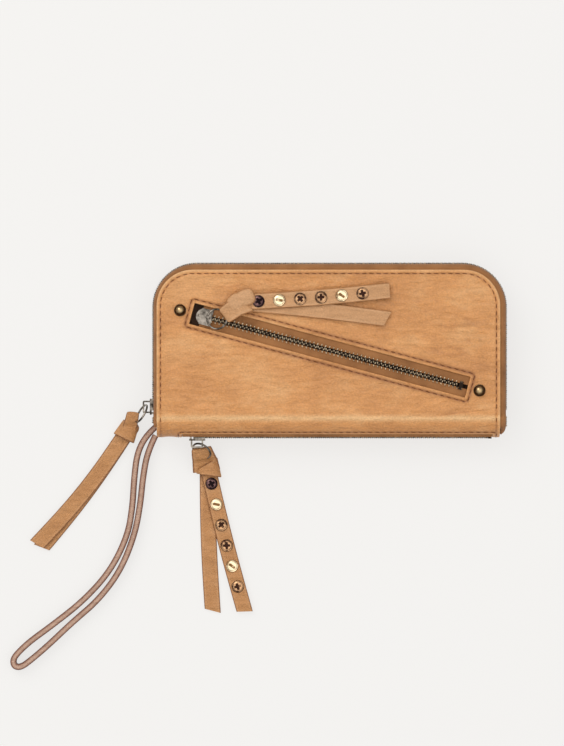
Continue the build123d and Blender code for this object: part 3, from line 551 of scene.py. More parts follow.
NONE = np.array([0.0])
row_parts = [
    ("above", *lines(34)),
    ("window", *even_lines(13)),
    ("below", *lines(40, far=NONE)),
    ("upper_round", *lines(16, near=NONE)),
    ("slot", *even_lines(13)),
    ("lower_round", *lines(16, far=NONE)),
    ("back", *even_lines(6)),
]
row_kind, row_p, row_q, row_room = [], [], [], []
for kind, p, q, room in row_parts:
    first = 1 if row_kind else 0  # a part's first line is the last line of the part before it
    row_kind += [kind] * (len(q) - first)
    row_p, row_q = row_p + list(p[first:]), row_q + list(q[first:])
    row_room += [room] * (len(q) - first)
row_kind = np.array(row_kind)
row_p, row_q, row_room = (np.array(values)[:, None] for values in (row_p, row_q, row_room))

side_lines = lines(7)
SIDE_COLS, MIDDLE_COLS = len(side_lines[0]), 130
print(len(row_kind), "rows,", 2 * SIDE_COLS + MIDDLE_COLS - 1, "columns")

# %% [markdown]
# A point of the grid is first found in the flat: x along the wallet, and a run that counts from the
# fold, positive up the front and negative down the spine. The corners of the panel are arcs, so the
# ends of each row are found by asking the outline for its x at the row's own height a few times.

# %% Points of the skin in the flat
SLOT_START = SPINE_RADIUS * np.arccos(SLOT_HALF / SPINE_RADIUS)  # run round the spine to the opening
SLOT_END = SPINE_RADIUS * np.pi - SLOT_START
SPINE_END = SPINE_RADIUS * np.pi
BACK_SPLIT = 6.0  # back panel's own mesh starts here, in the flat
ARCH_TOP = 70.0  # the openings' end lines start this far from the middle of the top edge
OUTLINE_STEPS = 12  # rounds that settle where a row meets the outline


def row_height(x):
    """Run of every row at x, counted from the fold."""
    upper, lower = window_line(x, 1), window_line(x, -1)
    heights = {
        "above": PANEL_TOP - place_line(row_p, row_q, row_room, PANEL_TOP - upper),
        "window": upper + (lower - upper) * row_q,
        "below": lower - place_line(row_p, row_q, row_room, lower - FOLD_Y),
        "upper_round": FOLD_Y - place_line(row_p, row_q, row_room, SLOT_START),
        "slot": FOLD_Y - SLOT_START - (SLOT_END - SLOT_START) * row_q,
        "lower_round": FOLD_Y - SLOT_END - place_line(row_p, row_q, row_room, SPINE_END - SLOT_END),
        "back": FOLD_Y - SPINE_END - BACK_SPLIT * row_q,
    }
    result = np.zeros(np.broadcast_shapes(x.shape, row_p.shape))
    for kind, height in heights.items():
        result = np.where(row_kind[:, None] == kind, height, result)
    return result


def outline_x(y, side):
    """x of the panel's left (-1) or right (+1) edge at y, with its rounded upper corner."""
    into = np.clip(y - (PANEL_TOP - PANEL_CORNER), 0, PANEL_CORNER)
    edge = PANEL_RIGHT if side > 0 else PANEL_LEFT
    return edge - side * (PANEL_CORNER - np.sqrt(PANEL_CORNER**2 - into**2))


def hole_x(side):
    """x of the line that runs down from the top edge to the openings' left or right ends."""
    half = WINDOW_LONG / 2 * np.cos(SLANT) * side
    lean = WINDOW_WIDE / 2 * np.sin(SLANT)
    top_x, high_x, low_x = ARCH_TOP * side, half - lean, half + lean
    slot_x = SLOT_RIGHT if side > 0 else SLOT_LEFT
    result = np.full(row_q.shape, slot_x)
    for kind, start, end in (("above", top_x, high_x), ("window", high_x, low_x), ("below", low_x, slot_x)):
        result = np.where(row_kind[:, None] == kind, start + (end - start) * row_q, result)
    return result


left_x = np.full(row_q.shape, PANEL_LEFT)
right_x = np.full(row_q.shape, PANEL_RIGHT)
for _ in range(OUTLINE_STEPS):
    left_x = outline_x(row_height(left_x), -1)
    right_x = outline_x(row_height(right_x), 1)
hole_left, hole_right = hole_x(-1), hole_x(1)
left_cols = left_x + place_line(*side_lines, hole_left - left_x)
middle_cols = hole_left + (hole_right - hole_left) * np.linspace(0, 1, MIDDLE_COLS + 1)[1:-1]
right_cols = right_x - place_line(*side_lines, right_x - hole_right)[:, ::-1]
skin_x = np.concatenate([left_cols, middle_cols, right_cols], axis=1)
skin_run = row_height(skin_x)
print("skin grid", skin_x.shape, "spine run", round(SPINE_END, 1))

# %% [markdown]
# The relief is worked out as a depth below the outer face of the CAD skin, so the leather never
# grows into the tassel that lies on it. It adds the rounding of the cut edges, the sewn furrow, the
# step behind the doubled edge, shallow puffs and a few long creases.

# %% Relief of the skin
def edge_distance(x, run):
    """Distance inwards from the panel's rounded outline."""
    y = np.minimum(run, PANEL_TOP)
    side = np.minimum(x - PANEL_LEFT, PANEL_RIGHT - x)
    plain = np.minimum(side, PANEL_TOP - y)
    dx, dy = PANEL_CORNER - side, PANEL_CORNER - (PANEL_TOP - y)
    in_corner = (dx > 0) & (dy > 0)
    return np.where(in_corner, PANEL_CORNER - np.hypot(np.maximum(dx, 0), np.maximum(dy, 0)), plain)


def box_distance(x, y, half_x, half_y):
    """Distance outside a rectangle: hypot of what lies beyond each side."""
    return np.hypot(np.maximum(np.abs(x) - half_x, 0), np.maximum(np.abs(y) - half_y, 0))


def window_distance(x, run):
    """Distance outside the slanted opening."""
    along = x * np.cos(SLANT) + run * np.sin(SLANT)
    across = -x * np.sin(SLANT) + run * np.cos(SLANT)
    return box_distance(along, across, WINDOW_LONG / 2, WINDOW_WIDE / 2)


def slot_distance(x, run):
    """Distance outside the spine's opening, counted round the spine."""
    middle = (SLOT_LEFT + SLOT_RIGHT) / 2
    round_run = FOLD_Y - run - SPINE_END / 2
    return box_distance(x - middle, round_run, (SLOT_RIGHT - SLOT_LEFT) / 2, (SLOT_END - SLOT_START) / 2)


SEAM_INSET = 2.2  # edge to the sewn line
DOUBLE_EDGE = 4.2  # edge to where the turned-in hide ends
FURROW_DEPTH, STEP_DEPTH, PUFF_DEPTH, CREASE_DEPTH = 0.26, 0.2, 0.42, 0.16


def turned_edge(distance, radius=0.5):
    """Depth of a rounded edge: r - sqrt(r^2 - (r - d)^2) for d below r."""
    short = np.clip(radius - distance, 0, radius)
    return radius - np.sqrt(radius**2 - short**2)


def furrow(distance):
    """Depth of the line that the thread pulls into the leather, a bell 0.45 wide."""
    return FURROW_DEPTH * bell(distance, SEAM_INSET, 0.45)


def skin_depth(x, run):
    """Depth below the CAD skin, and the leather's change of tone there: wear, painted highlight and painted
    shade.
    """
    outline, window, slot = edge_distance(x, run), window_distance(x, run), slot_distance(x, run)
    on_front = smooth_step(run, FOLD_Y - 2, FOLD_Y + 6)
    inner = np.minimum(np.minimum(outline, window), slot)
    depth = turned_edge(outline) + turned_edge(window) + turned_edge(slot)
    # furrows of the three seams, then the step where the turned-in hide ends
    depth += furrow(outline) * (run > FOLD_Y - 4) + furrow(window) + furrow(slot)
    depth += STEP_DEPTH * smooth_step(inner, DOUBLE_EDGE - 1.4, DOUBLE_EDGE + 0.6)
    # puffs between the seams, and long creases that follow one level of a stretched noise
    puff = lattice_noise(x, run, 26, 13, 3) * 0.7 + lattice_noise(x, run, 11, 7, 4) * 0.3
    depth += PUFF_DEPTH * puff * smooth_step(inner, 2.5, 9)
    wave = lattice_noise(x + 2.5 * run, run - 0.10 * x, 34, 6.5, 5)
    crease = np.clip(1 - np.abs(wave - 0.5) / 0.05, 0, 1) ** 1.5
    crease = crease * smooth_step(lattice_noise(x, run, 30, 18, 8), 0.45, 0.75) * smooth_step(inner, 4, 9)
    depth += CREASE_DEPTH * crease
    # painted highlight on the fold's ridge, cut edges worn pale; painted shade in seams, creases, spine,
    # window's rim
    painted_ridge_highlight = bell(run, FOLD_Y - 2.2, 1.7) * (0.6 + 0.4 * lattice_noise(x, run, 9, 4, 9))
    rub = 1.15 * painted_ridge_highlight + 0.5 * bell(inner, 0, 0.9) - 0.5 * bell(inner, SEAM_INSET, 0.6)
    rub = rub - 0.35 * crease - 0.18 * smooth_step(FOLD_Y - run, 4.5, 12) * (1 - on_front)
    rub = rub + 0.4 * (lattice_noise(x, run, 40, 16, 11) - 0.45) * on_front
    rub = rub - 0.32 * smooth_step(DOUBLE_EDGE - window, 0, 1.5)
    return depth, rub


# %% [markdown]
# The relief is bent over the fold and round the spine, and closed into a shell as thick as the hide.
# The cover opens at the fold.

# %% Front and spine skin
def on_skin(x, run, depth):
    """Bends the flat grid over the fold: the angle round the spine is run / radius."""
    angle = np.clip((FOLD_Y - run) / SPINE_RADIUS, 0, np.pi)
    past = np.maximum(FOLD_Y - run - SPINE_END, 0)
    normal = np.stack([angle * 0, -np.sin(angle), np.cos(angle)], -1)
    y = np.where(run > FOLD_Y, run, FOLD_Y) + past
    centre = np.stack([x + angle * 0, y, angle * 0 + SPINE_RADIUS], -1)
    return centre + normal * (SPINE_RADIUS - np.asarray(depth))[..., None], normal


def leather_shell(x, run, depth, rub, keep=slice(None)):
    """Closed shell of the outer face, the CAD skin's inner face and a wall along every free edge."""
    outer, _ = on_skin(x, run, depth)
    inner, _ = on_skin(x, run, np.full(x.shape, LEATHER - 0.02))
    faces = shell_faces(*x.shape, keep)[:, ::-1]
    points = np.concatenate([outer.reshape(-1, 3), inner.reshape(-1, 3)])
    rub = np.concatenate([rub.ravel(), rub.ravel() * 0 - 0.5])
    used, order = np.unique(faces, return_inverse=True)
    return points[used], order.reshape(-1, 4), rub[used]


depth, rub = skin_depth(skin_x, skin_run)
row_of_face = row_kind[1:]
keep = np.ones((skin_x.shape[0] - 1, skin_x.shape[1] - 1), bool)
hole_rows = (row_of_face == "window") | (row_of_face == "slot")
keep[hole_rows, SIDE_COLS - 1 : SIDE_COLS - 1 + MIDDLE_COLS] = False
points, faces, rub = leather_shell(skin_x, skin_run, depth, rub, keep.ravel())
skin = make_piece("front_and_spine_skin", points, faces, skin_leather, rub=rub)
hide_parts("front_leather", "back_and_spine_leather")
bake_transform(skin)
print("skin", len(points), "points", len(faces), "faces")

# %% [markdown]
# ## The back panel
# The back is the same hide. It gets its own mesh, joined to the first one in the flat, and it rides
# on the back cover.

# %% Back panel
back_start = FOLD_Y - SPINE_END - BACK_SPLIT
back_length = PANEL_TOP - (FOLD_Y + BACK_SPLIT)
back_run = (back_start - place_line(*lines(60, near=NONE), back_length))[:, None]
back_y = FOLD_Y + (FOLD_Y - back_run - SPINE_END)
left_end, right_end = outline_x(back_y, -1), outline_x(back_y, 1)
back_x = left_end + place_line(*lines(120), right_end - left_end)
back_run = back_run + 0 * back_x
back_y = back_y + 0 * back_x
outline = edge_distance(back_x, back_y)
away = smooth_step(back_y, FOLD_Y + BACK_SPLIT, FOLD_Y + BACK_SPLIT + 10)
puff = lattice_noise(back_x, back_y, 24, 14, 21) * 0.35
depth = turned_edge(outline) + furrow(outline) + puff * smooth_step(outline, 3, 10) * away
# the cut edges are worn pale, and painted shade darkens the seam's furrow
rub = 0.5 * bell(outline, 0, 0.9) - 0.85 * bell(outline, SEAM_INSET, 0.5)
points, faces, rub = leather_shell(back_x, back_run, depth, rub)
back_skin = make_piece("back_skin", points, faces, skin_leather, rub=rub)
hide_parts("back_and_spine_leather")
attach(back_skin, "back_cover")
print("back", len(points), "points", len(faces), "faces")

# %% [markdown]
# ## Stitches
# The seams are sewn with a waxed thread, about six stitches to the inch. Each stitch is a short
# bead that comes out of one hole and dives into the next, lying a little askew. A seam is a line on
# the skin, and the stitches are laid along it by its length, all of them worked out together.

# %% Stitches
STITCH_PITCH = 4.0
STITCH_LENGTH = 3.1
THREAD = 0.21  # half thickness
THREAD_SIDES = 6
STITCH_SKEW = 0.14  # how far a stitch's ends lie beside the line


def along_line(line, values, places):
    """Values given at the points of a line, read at distances along it."""
    run = run_along(line)
    return np.stack([np.interp(places, run, values[:, k]) for k in range(values.shape[1])], -1)


def stitches(line, normal):
    """Beads along a line: radius r = T (1 - u^4 / 2), height T (1 - u^2) - T u^4, u from -1 to 1."""
    total = run_along(line)[-1]
    count = max(int(total / STITCH_PITCH), 1)
    u = np.linspace(-1, 1, 7)
    middle = (np.arange(count) + 0.5) * total / count
    places = np.clip(middle[:, None] + u * STITCH_LENGTH / 2, 0, total)
    centre = along_line(line, line, places)
    up = unit(along_line(line, np.broadcast_to(normal, line.shape), places))
    forward = unit(np.gradient(centre, axis=1))
    side = np.cross(forward, up)
    centre = centre + up * (THREAD * (1 - u**2 - u**4))[:, None] + side * (STITCH_SKEW * u)[:, None]
    radius = (THREAD * (1 - 0.5 * u**4))[:, None, None]
    turn = np.arange(THREAD_SIDES)[:, None] * 2 * np.pi / THREAD_SIDES
    ring = up[:, :, None] * np.cos(turn) + side[:, :, None] * np.sin(turn)
    points = centre[:, :, None] + ring * radius
    one = tube_faces(len(u), THREAD_SIDES)
    return points.reshape(-1, 3), repeat_faces(one, count, len(u) * THREAD_SIDES)


def seam(x, run):
    """Stitches along a line of the skin, given in the flat."""
    x, run = np.broadcast_arrays(np.asarray(x, float), np.asarray(run, float))
    depth, _ = skin_depth(x, run)
    line, normal = on_skin(x, run, depth - 0.02)
    return stitches(line, normal)


# %% [markdown]
# The seams follow the edges of the panel, of the slanted opening and of the opening in the spine,
# each at the same distance from its edge.

# %% Seams
PANEL_SEAM_END = FOLD_Y + 2.4


def panel_seam():
    """The line inside the panel's left, top and right edges: x and y of its points."""
    radius = PANEL_CORNER - SEAM_INSET
    left, right, top = PANEL_LEFT + SEAM_INSET, PANEL_RIGHT - SEAM_INSET, PANEL_TOP - SEAM_INSET
    turn = np.linspace(0, np.pi / 2, 40)
    c, s = radius * np.cos(turn), radius * np.sin(turn)
    x = np.concatenate([[left], left + radius - c, right - radius + s, [right]])
    y = np.concatenate([[PANEL_SEAM_END], top - radius + s, top - radius + c, [PANEL_SEAM_END]])
    fine = np.linspace(0, 1, 400) * (len(x) - 1)
    return np.interp(fine, np.arange(len(x)), x), np.interp(fine, np.arange(len(y)), y)


def stitch_piece(name, seams, body):
    """One piece of thread from several seams."""
    points, faces = join_shapes(seams)
    piece = make_piece(name, points, faces, linen_thread)
    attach(piece, body)
    print(name, len(faces), "faces")


window_half = np.array([WINDOW_LONG, WINDOW_WIDE]) / 2 + SEAM_INSET
window_corners = np.array([(-1, 1), (1, 1), (1, -1), (-1, -1), (-1, 1)]) * window_half
window_corners = window_corners @ np.stack([SLANT_ALONG, SLANT_ACROSS])
share = np.linspace(0.004, 0.996, 120)[:, None]
front_seams = [seam(*panel_seam())]
for start, end in zip(window_corners[:-1], window_corners[1:]):
    front_seams.append(seam(*(start + (end - start) * share).T))
stitch_piece("front_thread", front_seams, "front_cover")

upper_seam = FOLD_Y - SLOT_START + SEAM_INSET
lower_seam = FOLD_Y - SLOT_END - SEAM_INSET
slot_x = np.linspace(SLOT_LEFT - SEAM_INSET, SLOT_RIGHT + SEAM_INSET, 300)
end_run = np.linspace(upper_seam - 0.6, lower_seam + 0.6, 60)
turn_run = np.linspace(FOLD_Y - 5.4, FOLD_Y - 1.2, 20)
spine_seams = [seam(slot_x, upper_seam), seam(slot_x, lower_seam)]
spine_seams += [seam(slot_x[0], end_run), seam(slot_x[-1], end_run)]
spine_seams += [seam(PANEL_LEFT + SEAM_INSET, turn_run), seam(PANEL_RIGHT - SEAM_INSET, turn_run)]
stitch_piece("spine_thread", spine_seams, "back_cover")

BACK_THREAD_LEVEL = 0.42  # the thread lies in its furrow, clear of the table
back_line = at_level(np.stack(panel_seam(), -1), BACK_THREAD_LEVEL)
stitch_piece("back_thread", [stitches(back_line, -UP)], "back_cover")

# %% [markdown]
# ## Zip tapes
# Each tape is a woven ribbon 0.7 thick. Round the rim it stands up from the teeth and turns in under
# the panel; in the spine it slopes in behind the leather; in the front pocket it lies flat. All of
# them are one section carried along a path, with the weave laid out along the path by the UV map.

# %% Zip tapes
TAPE = 0.7


def ribbon_section(line, thick):
    """Closed outline of a thin band that follows a line: the line moved out, then back moved in."""
    line = np.asarray(line, float)
    normal = left_of(line) * thick / 2
    return np.concatenate([line + normal, (line - normal)[::-1]])


def sweep(path, side, section):
    """Points path + s * side + u * UP for each (s, u) of a closed section, with capped ends. Side
    and section may change along the path."""
    side = np.broadcast_to(side, path.shape)[:, None]
    points = path[:, None] + section[..., :1] * side + section[..., 1:] * UP
    return points.reshape(-1, 3), tube_faces(*points.shape[:2])


def strip_uv(path, section):
    """UV of a sweep in millimetres: the run along the path and the run round the section."""
    section = np.broadcast_to(section, (len(path), *np.shape(section)[-2:]))
    grid = np.meshgrid(run_along(path), run_along(section[0]), indexing="ij")
    return np.stack(grid, -1).reshape(-1, 2)


def rim_line(lowest):
    """Points and outward directions of the line round the left, upper and right edges."""
    corner_x, corner_y = RIM_X - RIM_CORNER, RIM_Y - RIM_CORNER
    turn = np.linspace(0, np.pi / 2, 25)
    low_part = np.linspace(lowest, corner_y, 26)[:-1]
    top_part = np.linspace(-corner_x, corner_x, 70)[1:-1]
    left = np.stack([low_part * 0 - RIM_X, low_part], -1)
    first = np.stack([-corner_x - RIM_CORNER * np.cos(turn), corner_y + RIM_CORNER * np.sin(turn)], -1)
    top = np.stack([top_part, top_part * 0 + RIM_Y], -1)
    points = np.concatenate([left, first, top, first[::-1] * [-1, 1], left[::-1] * [-1, 1]])
    return points, left_of(points)


def tape_piece(name, path, side, section, body):
    """A woven tape that stands for the CAD tape of the same name."""
    uv = strip_uv(path, section)
    body_piece(name + "_weave", *sweep(path, side, section), zip_cloth, "zip_tape", body, name, uv=uv)
    print(name, round(run_along(path)[-1], 1), "mm long")


rim_points, rim_out = rim_line(front_low[1])
rim_path, rim_side = at_level(rim_points, SPINE_RADIUS), at_level(rim_out, 0)
TAPE_EDGE, TAPE_BEND, TAPE_SEAM = 1.2, 2.5, 6.0  # from the chain: woven edge, bend's radius, sewn edge
tape_top = SPINE_RADIUS - LEATHER - TAPE / 2
bend = np.linspace(0, np.pi / 2, 7)
stand = np.linspace(TAPE_EDGE, tape_top - TAPE_BEND, 12)
LOOSE = 3.6  # from the chain to where the tape is loose, bulges inwards and ripples
bulge = -0.55 * np.sin(np.pi * np.clip((stand - LOOSE) / 5.4, 0, 1))
bent = TAPE_BEND * np.stack([np.cos(bend) - 1, np.sin(bend) - 1], -1) + [0, tape_top]
tape_line = np.concatenate([np.stack([bulge, stand], -1), bent[1:], [[-TAPE_SEAM, tape_top]]])
rim_run = np.arange(len(rim_path)) * 4.0  # each step counts as 4 mm of ripple
for name, way, body in (("front_zip_tape", 1, "front_cover"), ("back_zip_tape", -1, "back_cover")):
    section = ribbon_section(tape_line, TAPE) * [1, way]
    ripple = 0.3 * (lattice_noise(rim_run, rim_run * 0, 14, 9, 30 + way) - 0.5)
    sections = np.repeat(section[None], len(rim_path), 0)
    from_chain = np.abs(section[:, 1])
    loose = np.clip((from_chain - LOOSE) / 2, 0, 1) * np.clip((LOOSE + 6 - from_chain) / 2, 0, 1)
    sections[..., 0] += ripple[:, None] * loose
    tape_piece(name, rim_path, rim_side, sections, body)

# %% [markdown]
# ## Tucked ends of the zip
# Past the fold the two tapes turn in under the spine's round end and taper to its corner. The corners
# of their line are given as how far inwards of the zip and how far below the fold they are. Each end
# has its side, how far apart its rows are spread, where the panel ends, and those corners.

# %% Tucked tape ends
TUCKED_ENDS = {
    "left": (-1, 0.9, -PANEL_LEFT, [(0.0, -0.25), (0.0, 5.3), (1.0, 7.6)]),
    "right": (1, 0.0, PANEL_RIGHT, [(0.0, -0.25), (0.0, 6.6), (0.7, 9.4), (2.4, 11.2)]),
}
INNER_ROUND = SPINE_RADIUS - LEATHER
STRAP_ROOM = SPINE_RADIUS - node_box("wrist_strap")[1][2] - 0.3  # the strap's root is under the left end


def end_line(x, y, spread, panel_end, room):
    """Half of a tape's section at one place of its tucked end: up, then in to the panel's end."""
    reach = abs(x) - panel_end
    high = min(np.sqrt(max(INNER_ROUND**2 - (FOLD_Y - y) ** 2, 9.0)) - TAPE / 2, room)
    radius = 0.8 * min(TAPE_BEND, reach)
    stand = np.stack([np.zeros(8), np.linspace(TAPE_EDGE + spread, high - radius, 8)], -1)
    arc = np.stack([radius * np.cos(bend) - radius, high - radius + radius * np.sin(bend)], -1)
    return np.concatenate([stand, arc[1:], [[-reach, high]]])


for name, (side, spread, panel_end, corners) in TUCKED_ENDS.items():
    inwards, below = np.array(corners).T
    flat = curve_through(np.stack([side * (RIM_X - inwards), FOLD_Y - below], -1), 24)
    path, outward = at_level(flat, SPINE_RADIUS), at_level(left_of(flat) * side, 0)
    halves = []
    for way in (1, -1):
        room = STRAP_ROOM if (side, way) == (-1, -1) else INNER_ROUND
        sections = [ribbon_section(end_line(x, y, spread, panel_end, room), TAPE) for x, y in flat]
        halves.append(sweep(path, outward, np.array(sections) * [1, way]))
    points, faces = join_shapes(halves)
    node = f"{name}_tape_end"
    body_piece(node + "_weave", points, faces, zip_cloth, "zip_tape", "back_cover", node, uv=points[:, 1:])
    print(node, len(faces), "faces")

# %% [markdown]
# ## Tapes of the spine and of the front pocket
# The spine's tapes stand straight at the chain, then slope back and are sewn to the inside of the
# round leather. The front pocket's tapes lie flat under the panel. Left of the slider the pocket is
# open, so the tapes stop there and the bag shows, its cloth painted dark as painted shade inside the
# pocket.

# %% Spine and pocket tapes
def level_path(x, y, z):
    """A straight line along the wallet, at one y and one z."""
    return x[:, None] * [1, 0, 0] + [0, y, z]


SEWN_RADIUS, SEWN_REACH = 11.1, 2.8  # radius of the sewn part, and how far it lies behind the leather
POCKET_OPEN = 5.5  # window's left end to where the tapes start
spine_tape_low, spine_tape_high = node_box("spine_tape_upper")
spine_path = level_path(np.linspace(spine_tape_low[0], spine_tape_high[0], 90), -RIM_Y, SPINE_RADIUS)
sewn_high = np.array([SLOT_HALF, SLOT_HALF + SEWN_REACH])
sewn_in = RIM_Y + FOLD_Y - np.sqrt(SEWN_RADIUS**2 - sewn_high**2)
spine_line = [[0, TAPE_EDGE], [0, 2.6], [0, 4.75], [sewn_in[0] * 0.5, 5.48]]
spine_line += [*np.stack([sewn_in, sewn_high], -1)]
for name, way in (("spine_tape_upper", 1), ("spine_tape_lower", -1)):
    section = ribbon_section(spine_line, TAPE * 0.96) * [1, way]
    tape_piece(name, spine_path, [0, 1, 0], section, "back_cover")

pocket_level = front_low[2] - TAPE / 2
pocket_run = np.linspace(-(WINDOW_LONG / 2 - POCKET_OPEN), WINDOW_LONG / 2 + 3, 60)
pocket_path = at_level(pocket_run[:, None] * SLANT_ALONG, pocket_level)
flat_line = np.stack([np.linspace(TAPE_EDGE, WINDOW_WIDE / 2 + TAPE_SEAM, 12), np.zeros(12)], -1)
for name, way in (("pocket_tape_upper", 1), ("pocket_tape_lower", -1)):
    section = ribbon_section(flat_line, TAPE) * [way, 1]
    tape_piece(name, pocket_path, [*SLANT_ACROSS, 0], section, "front_cover")

# %% [markdown]
# ## The knotted strips
# Each pull is one strip of thin leather. It goes through the ring, is tied once, and leaves two
# tails. A strip is a flat section with softly rounded, burnished edges, carried along a path. The
# knot is made of the same strip: a padded core, and two bands wound round it that cross on top.

# %% Strips
STRIP_SHARE = np.array([-1, -0.98, -0.92, -0.82, -0.6, -0.25, 0.25, 0.6, 0.82, 0.92, 0.98, 1])
STRIP_HEIGHT = np.array([0, 0.6, 0.9, 1, 1, 1, 1, 1, 1, 0.9, 0.6, 0])
STRIP_TOP = np.stack([STRIP_SHARE, STRIP_HEIGHT], -1)
STRIP_SECTION = np.concatenate([STRIP_TOP, STRIP_TOP[-2:0:-1] * [1, -1]])
STRIP = 1.25  # thickness
CUT_REACH = 9.0  # a slanted cut leans the strip this far back from its end


def strip_shape(path, across, width, cut=0.0, crown=0.0):
    """A flat strip along a path. Near its far end each point moves on by cut times its place across,
    which slants the end; crown lifts the middle. Returns points, faces and rub."""
    forward = unit(np.gradient(path, axis=0))
    across = unit(across - forward * (forward @ across)[:, None])
    up = np.cross(forward, across)
    soft = np.ones(len(path))  # the two ends are thinner and a little narrower
    soft[[0, -1]] = 0.55
    soft[[1, -2]] = 0.93
    share = np.repeat(STRIP_SECTION[None, :, 0], len(path), 0)
    side = share * (width / 2 - 0.12 * (1 - soft))[:, None]
    lift = np.broadcast_to(crown, len(path))[:, None] * (1 - share**2)
    height = STRIP_SECTION[:, 1] * (STRIP / 2 * soft)[:, None] + lift
    run = run_along(path)
    near_end = np.clip(1 - (run[-1] - run) / CUT_REACH, 0, 1)
    points = path[:, None] + side[..., None] * across[:, None] + height[..., None] * up[:, None]
    points = points + (cut / 2 * near_end[:, None] * share)[..., None] * forward[:, None]
    edge = np.abs(share)
    rub = -1.1 * smooth_step(edge, 0.86, 0.95) + 0.35 * bell(edge, 0.82, 0.05)
    return points.reshape(-1, 3), tube_faces(*points.shape[:2]), rub.ravel()


print("strip section", len(STRIP_SECTION), "points")

# %% [markdown]
# A pull's own directions come from the joints: the ring's joint is in the slider's bail, and the
# tassel's joint is on the ring's wire. The strip comes down over the ring as a wide flap, folds
# through it, and a band is wound round both layers. The flap is a strip along a smooth curve, and
# its points are the places where the leather is seen to lie.

# %% Knots and tails
def rounded(value, power):
    """A power that keeps the sign: it squares off a circle's sine and cosine."""
    return np.sign(value) * np.abs(value) ** power


def wrap_band(knot, heading, tilt, shift, width, half_side, half_up, spread=0.0, fan=0.0, seed=1):
    """A band wound once round the knot: a rounded ellipse in a plane turned by tilt. Its girth grows
    by spread for each millimetre towards the tails, and its width by fan for each one sideways."""
    turn = np.linspace(0, 2 * np.pi, 61)
    along = flat_direction(heading + tilt)
    side = np.cross(UP, along)
    wobble = 1 + 0.05 * (lattice_noise(turn * 3, turn * 0, 1.0, 1.0, seed) - 0.5) * np.sin(turn / 2)
    c, s = np.cos(turn), np.sin(turn)
    a, b = half_side * rounded(c, 0.8) * wobble, half_up * rounded(s, 0.8) * wobble
    middle = knot + flat_direction(heading) * shift
    path = middle + a[:, None] * side + b[:, None] * UP
    points, faces, rub = strip_shape(path, along, width, crown=0.25 * np.abs(s))
    down, sideways = (points - middle) @ along, (points - middle) @ side
    points = points + (sideways * down * spread)[:, None] * side + (sideways * down * fan)[:, None] * along
    return points, faces, rub


def cushion(middle, heading, half_sizes):
    """A padded core or lobe: a rounded box, x, y and z being powers of the sine and cosine."""
    u = np.linspace(-np.pi / 2, np.pi / 2, 21)[:, None]
    v = np.linspace(0, 2 * np.pi, 41)[None, :-1]
    x = rounded(np.sin(u), 0.7) * np.ones_like(v) * half_sizes[0]
    y = rounded(np.cos(u), 0.7) * rounded(np.cos(v), 0.7) * half_sizes[1]
    z = rounded(np.cos(u), 0.7) * rounded(np.sin(v), 0.8) * half_sizes[2]
    along = flat_direction(heading)
    side = np.cross(UP, along)
    points = middle + x[..., None] * along + y[..., None] * side + z[..., None] * UP
    faces = quads(*points.shape[:2], closed_cols=True).tolist()
    # painted light: the top is a little lighter, and painted shade darkens the lower sides
    rub = 0.25 - 1.2 * (1 - smooth_step(z / half_sizes[2], 0.2, 0.8))
    return points.reshape(-1, 3), faces, rub.ravel()


TAIL_START = 2.0  # a tail begins inside the knot, this far from its middle
TAIL_WIDTH = 9.0
FOLD_POINT = 3  # the flap's route turns back at this point


def tail_shape(knot, tip, level, cut, bow):
    """A tail from inside the knot to its tip, bowed sideways by a half sine."""
    flat_knot, tip = np.array([knot[0], knot[1], level]), np.array([*tip, level])
    way = unit(tip - flat_knot)
    side = np.cross(UP, way)
    length = np.linalg.norm(tip - flat_knot)
    t = np.linspace(0, 1, 40)[:, None]
    path = flat_knot + way * (TAIL_START + (length - TAIL_START) * t) + side * bow * np.sin(np.pi * t)
    return strip_shape(path + 0.1 * UP * np.sin(3 * np.pi * t), side, TAIL_WIDTH, cut=cut)


def flap(route, across, widths):
    """The wide fold over the ring, a strip along a smooth curve. Its width changes evenly from end to
    end, and dips at the fold, which rounds the corners there."""
    path = curve_through(route, 72)
    run = np.linspace(0, 1, len(path))
    turn = FOLD_POINT / (len(route) - 1)
    width = np.interp(run, [0, turn, 1], widths) * (1 - 0.3 * bell(run, turn, 0.05))
    return strip_shape(path, flat_direction(across), width, crown=0.25)


# %% [markdown]
# Each pull has its own facts. Heading and away give the knot from the ring's eye. Upper and lower are
# the tips of the two tails, with the slant of their cuts and their bows. The flap is a route of
# points, and across and widths are its direction and its width at both ends and the fold. A wrap is
# the tilt, shift, width, half sizes, spread and fan of a band. Rivets are where the first one is on
# its tail and the pitch, and the last value makes the whole strip that much paler.

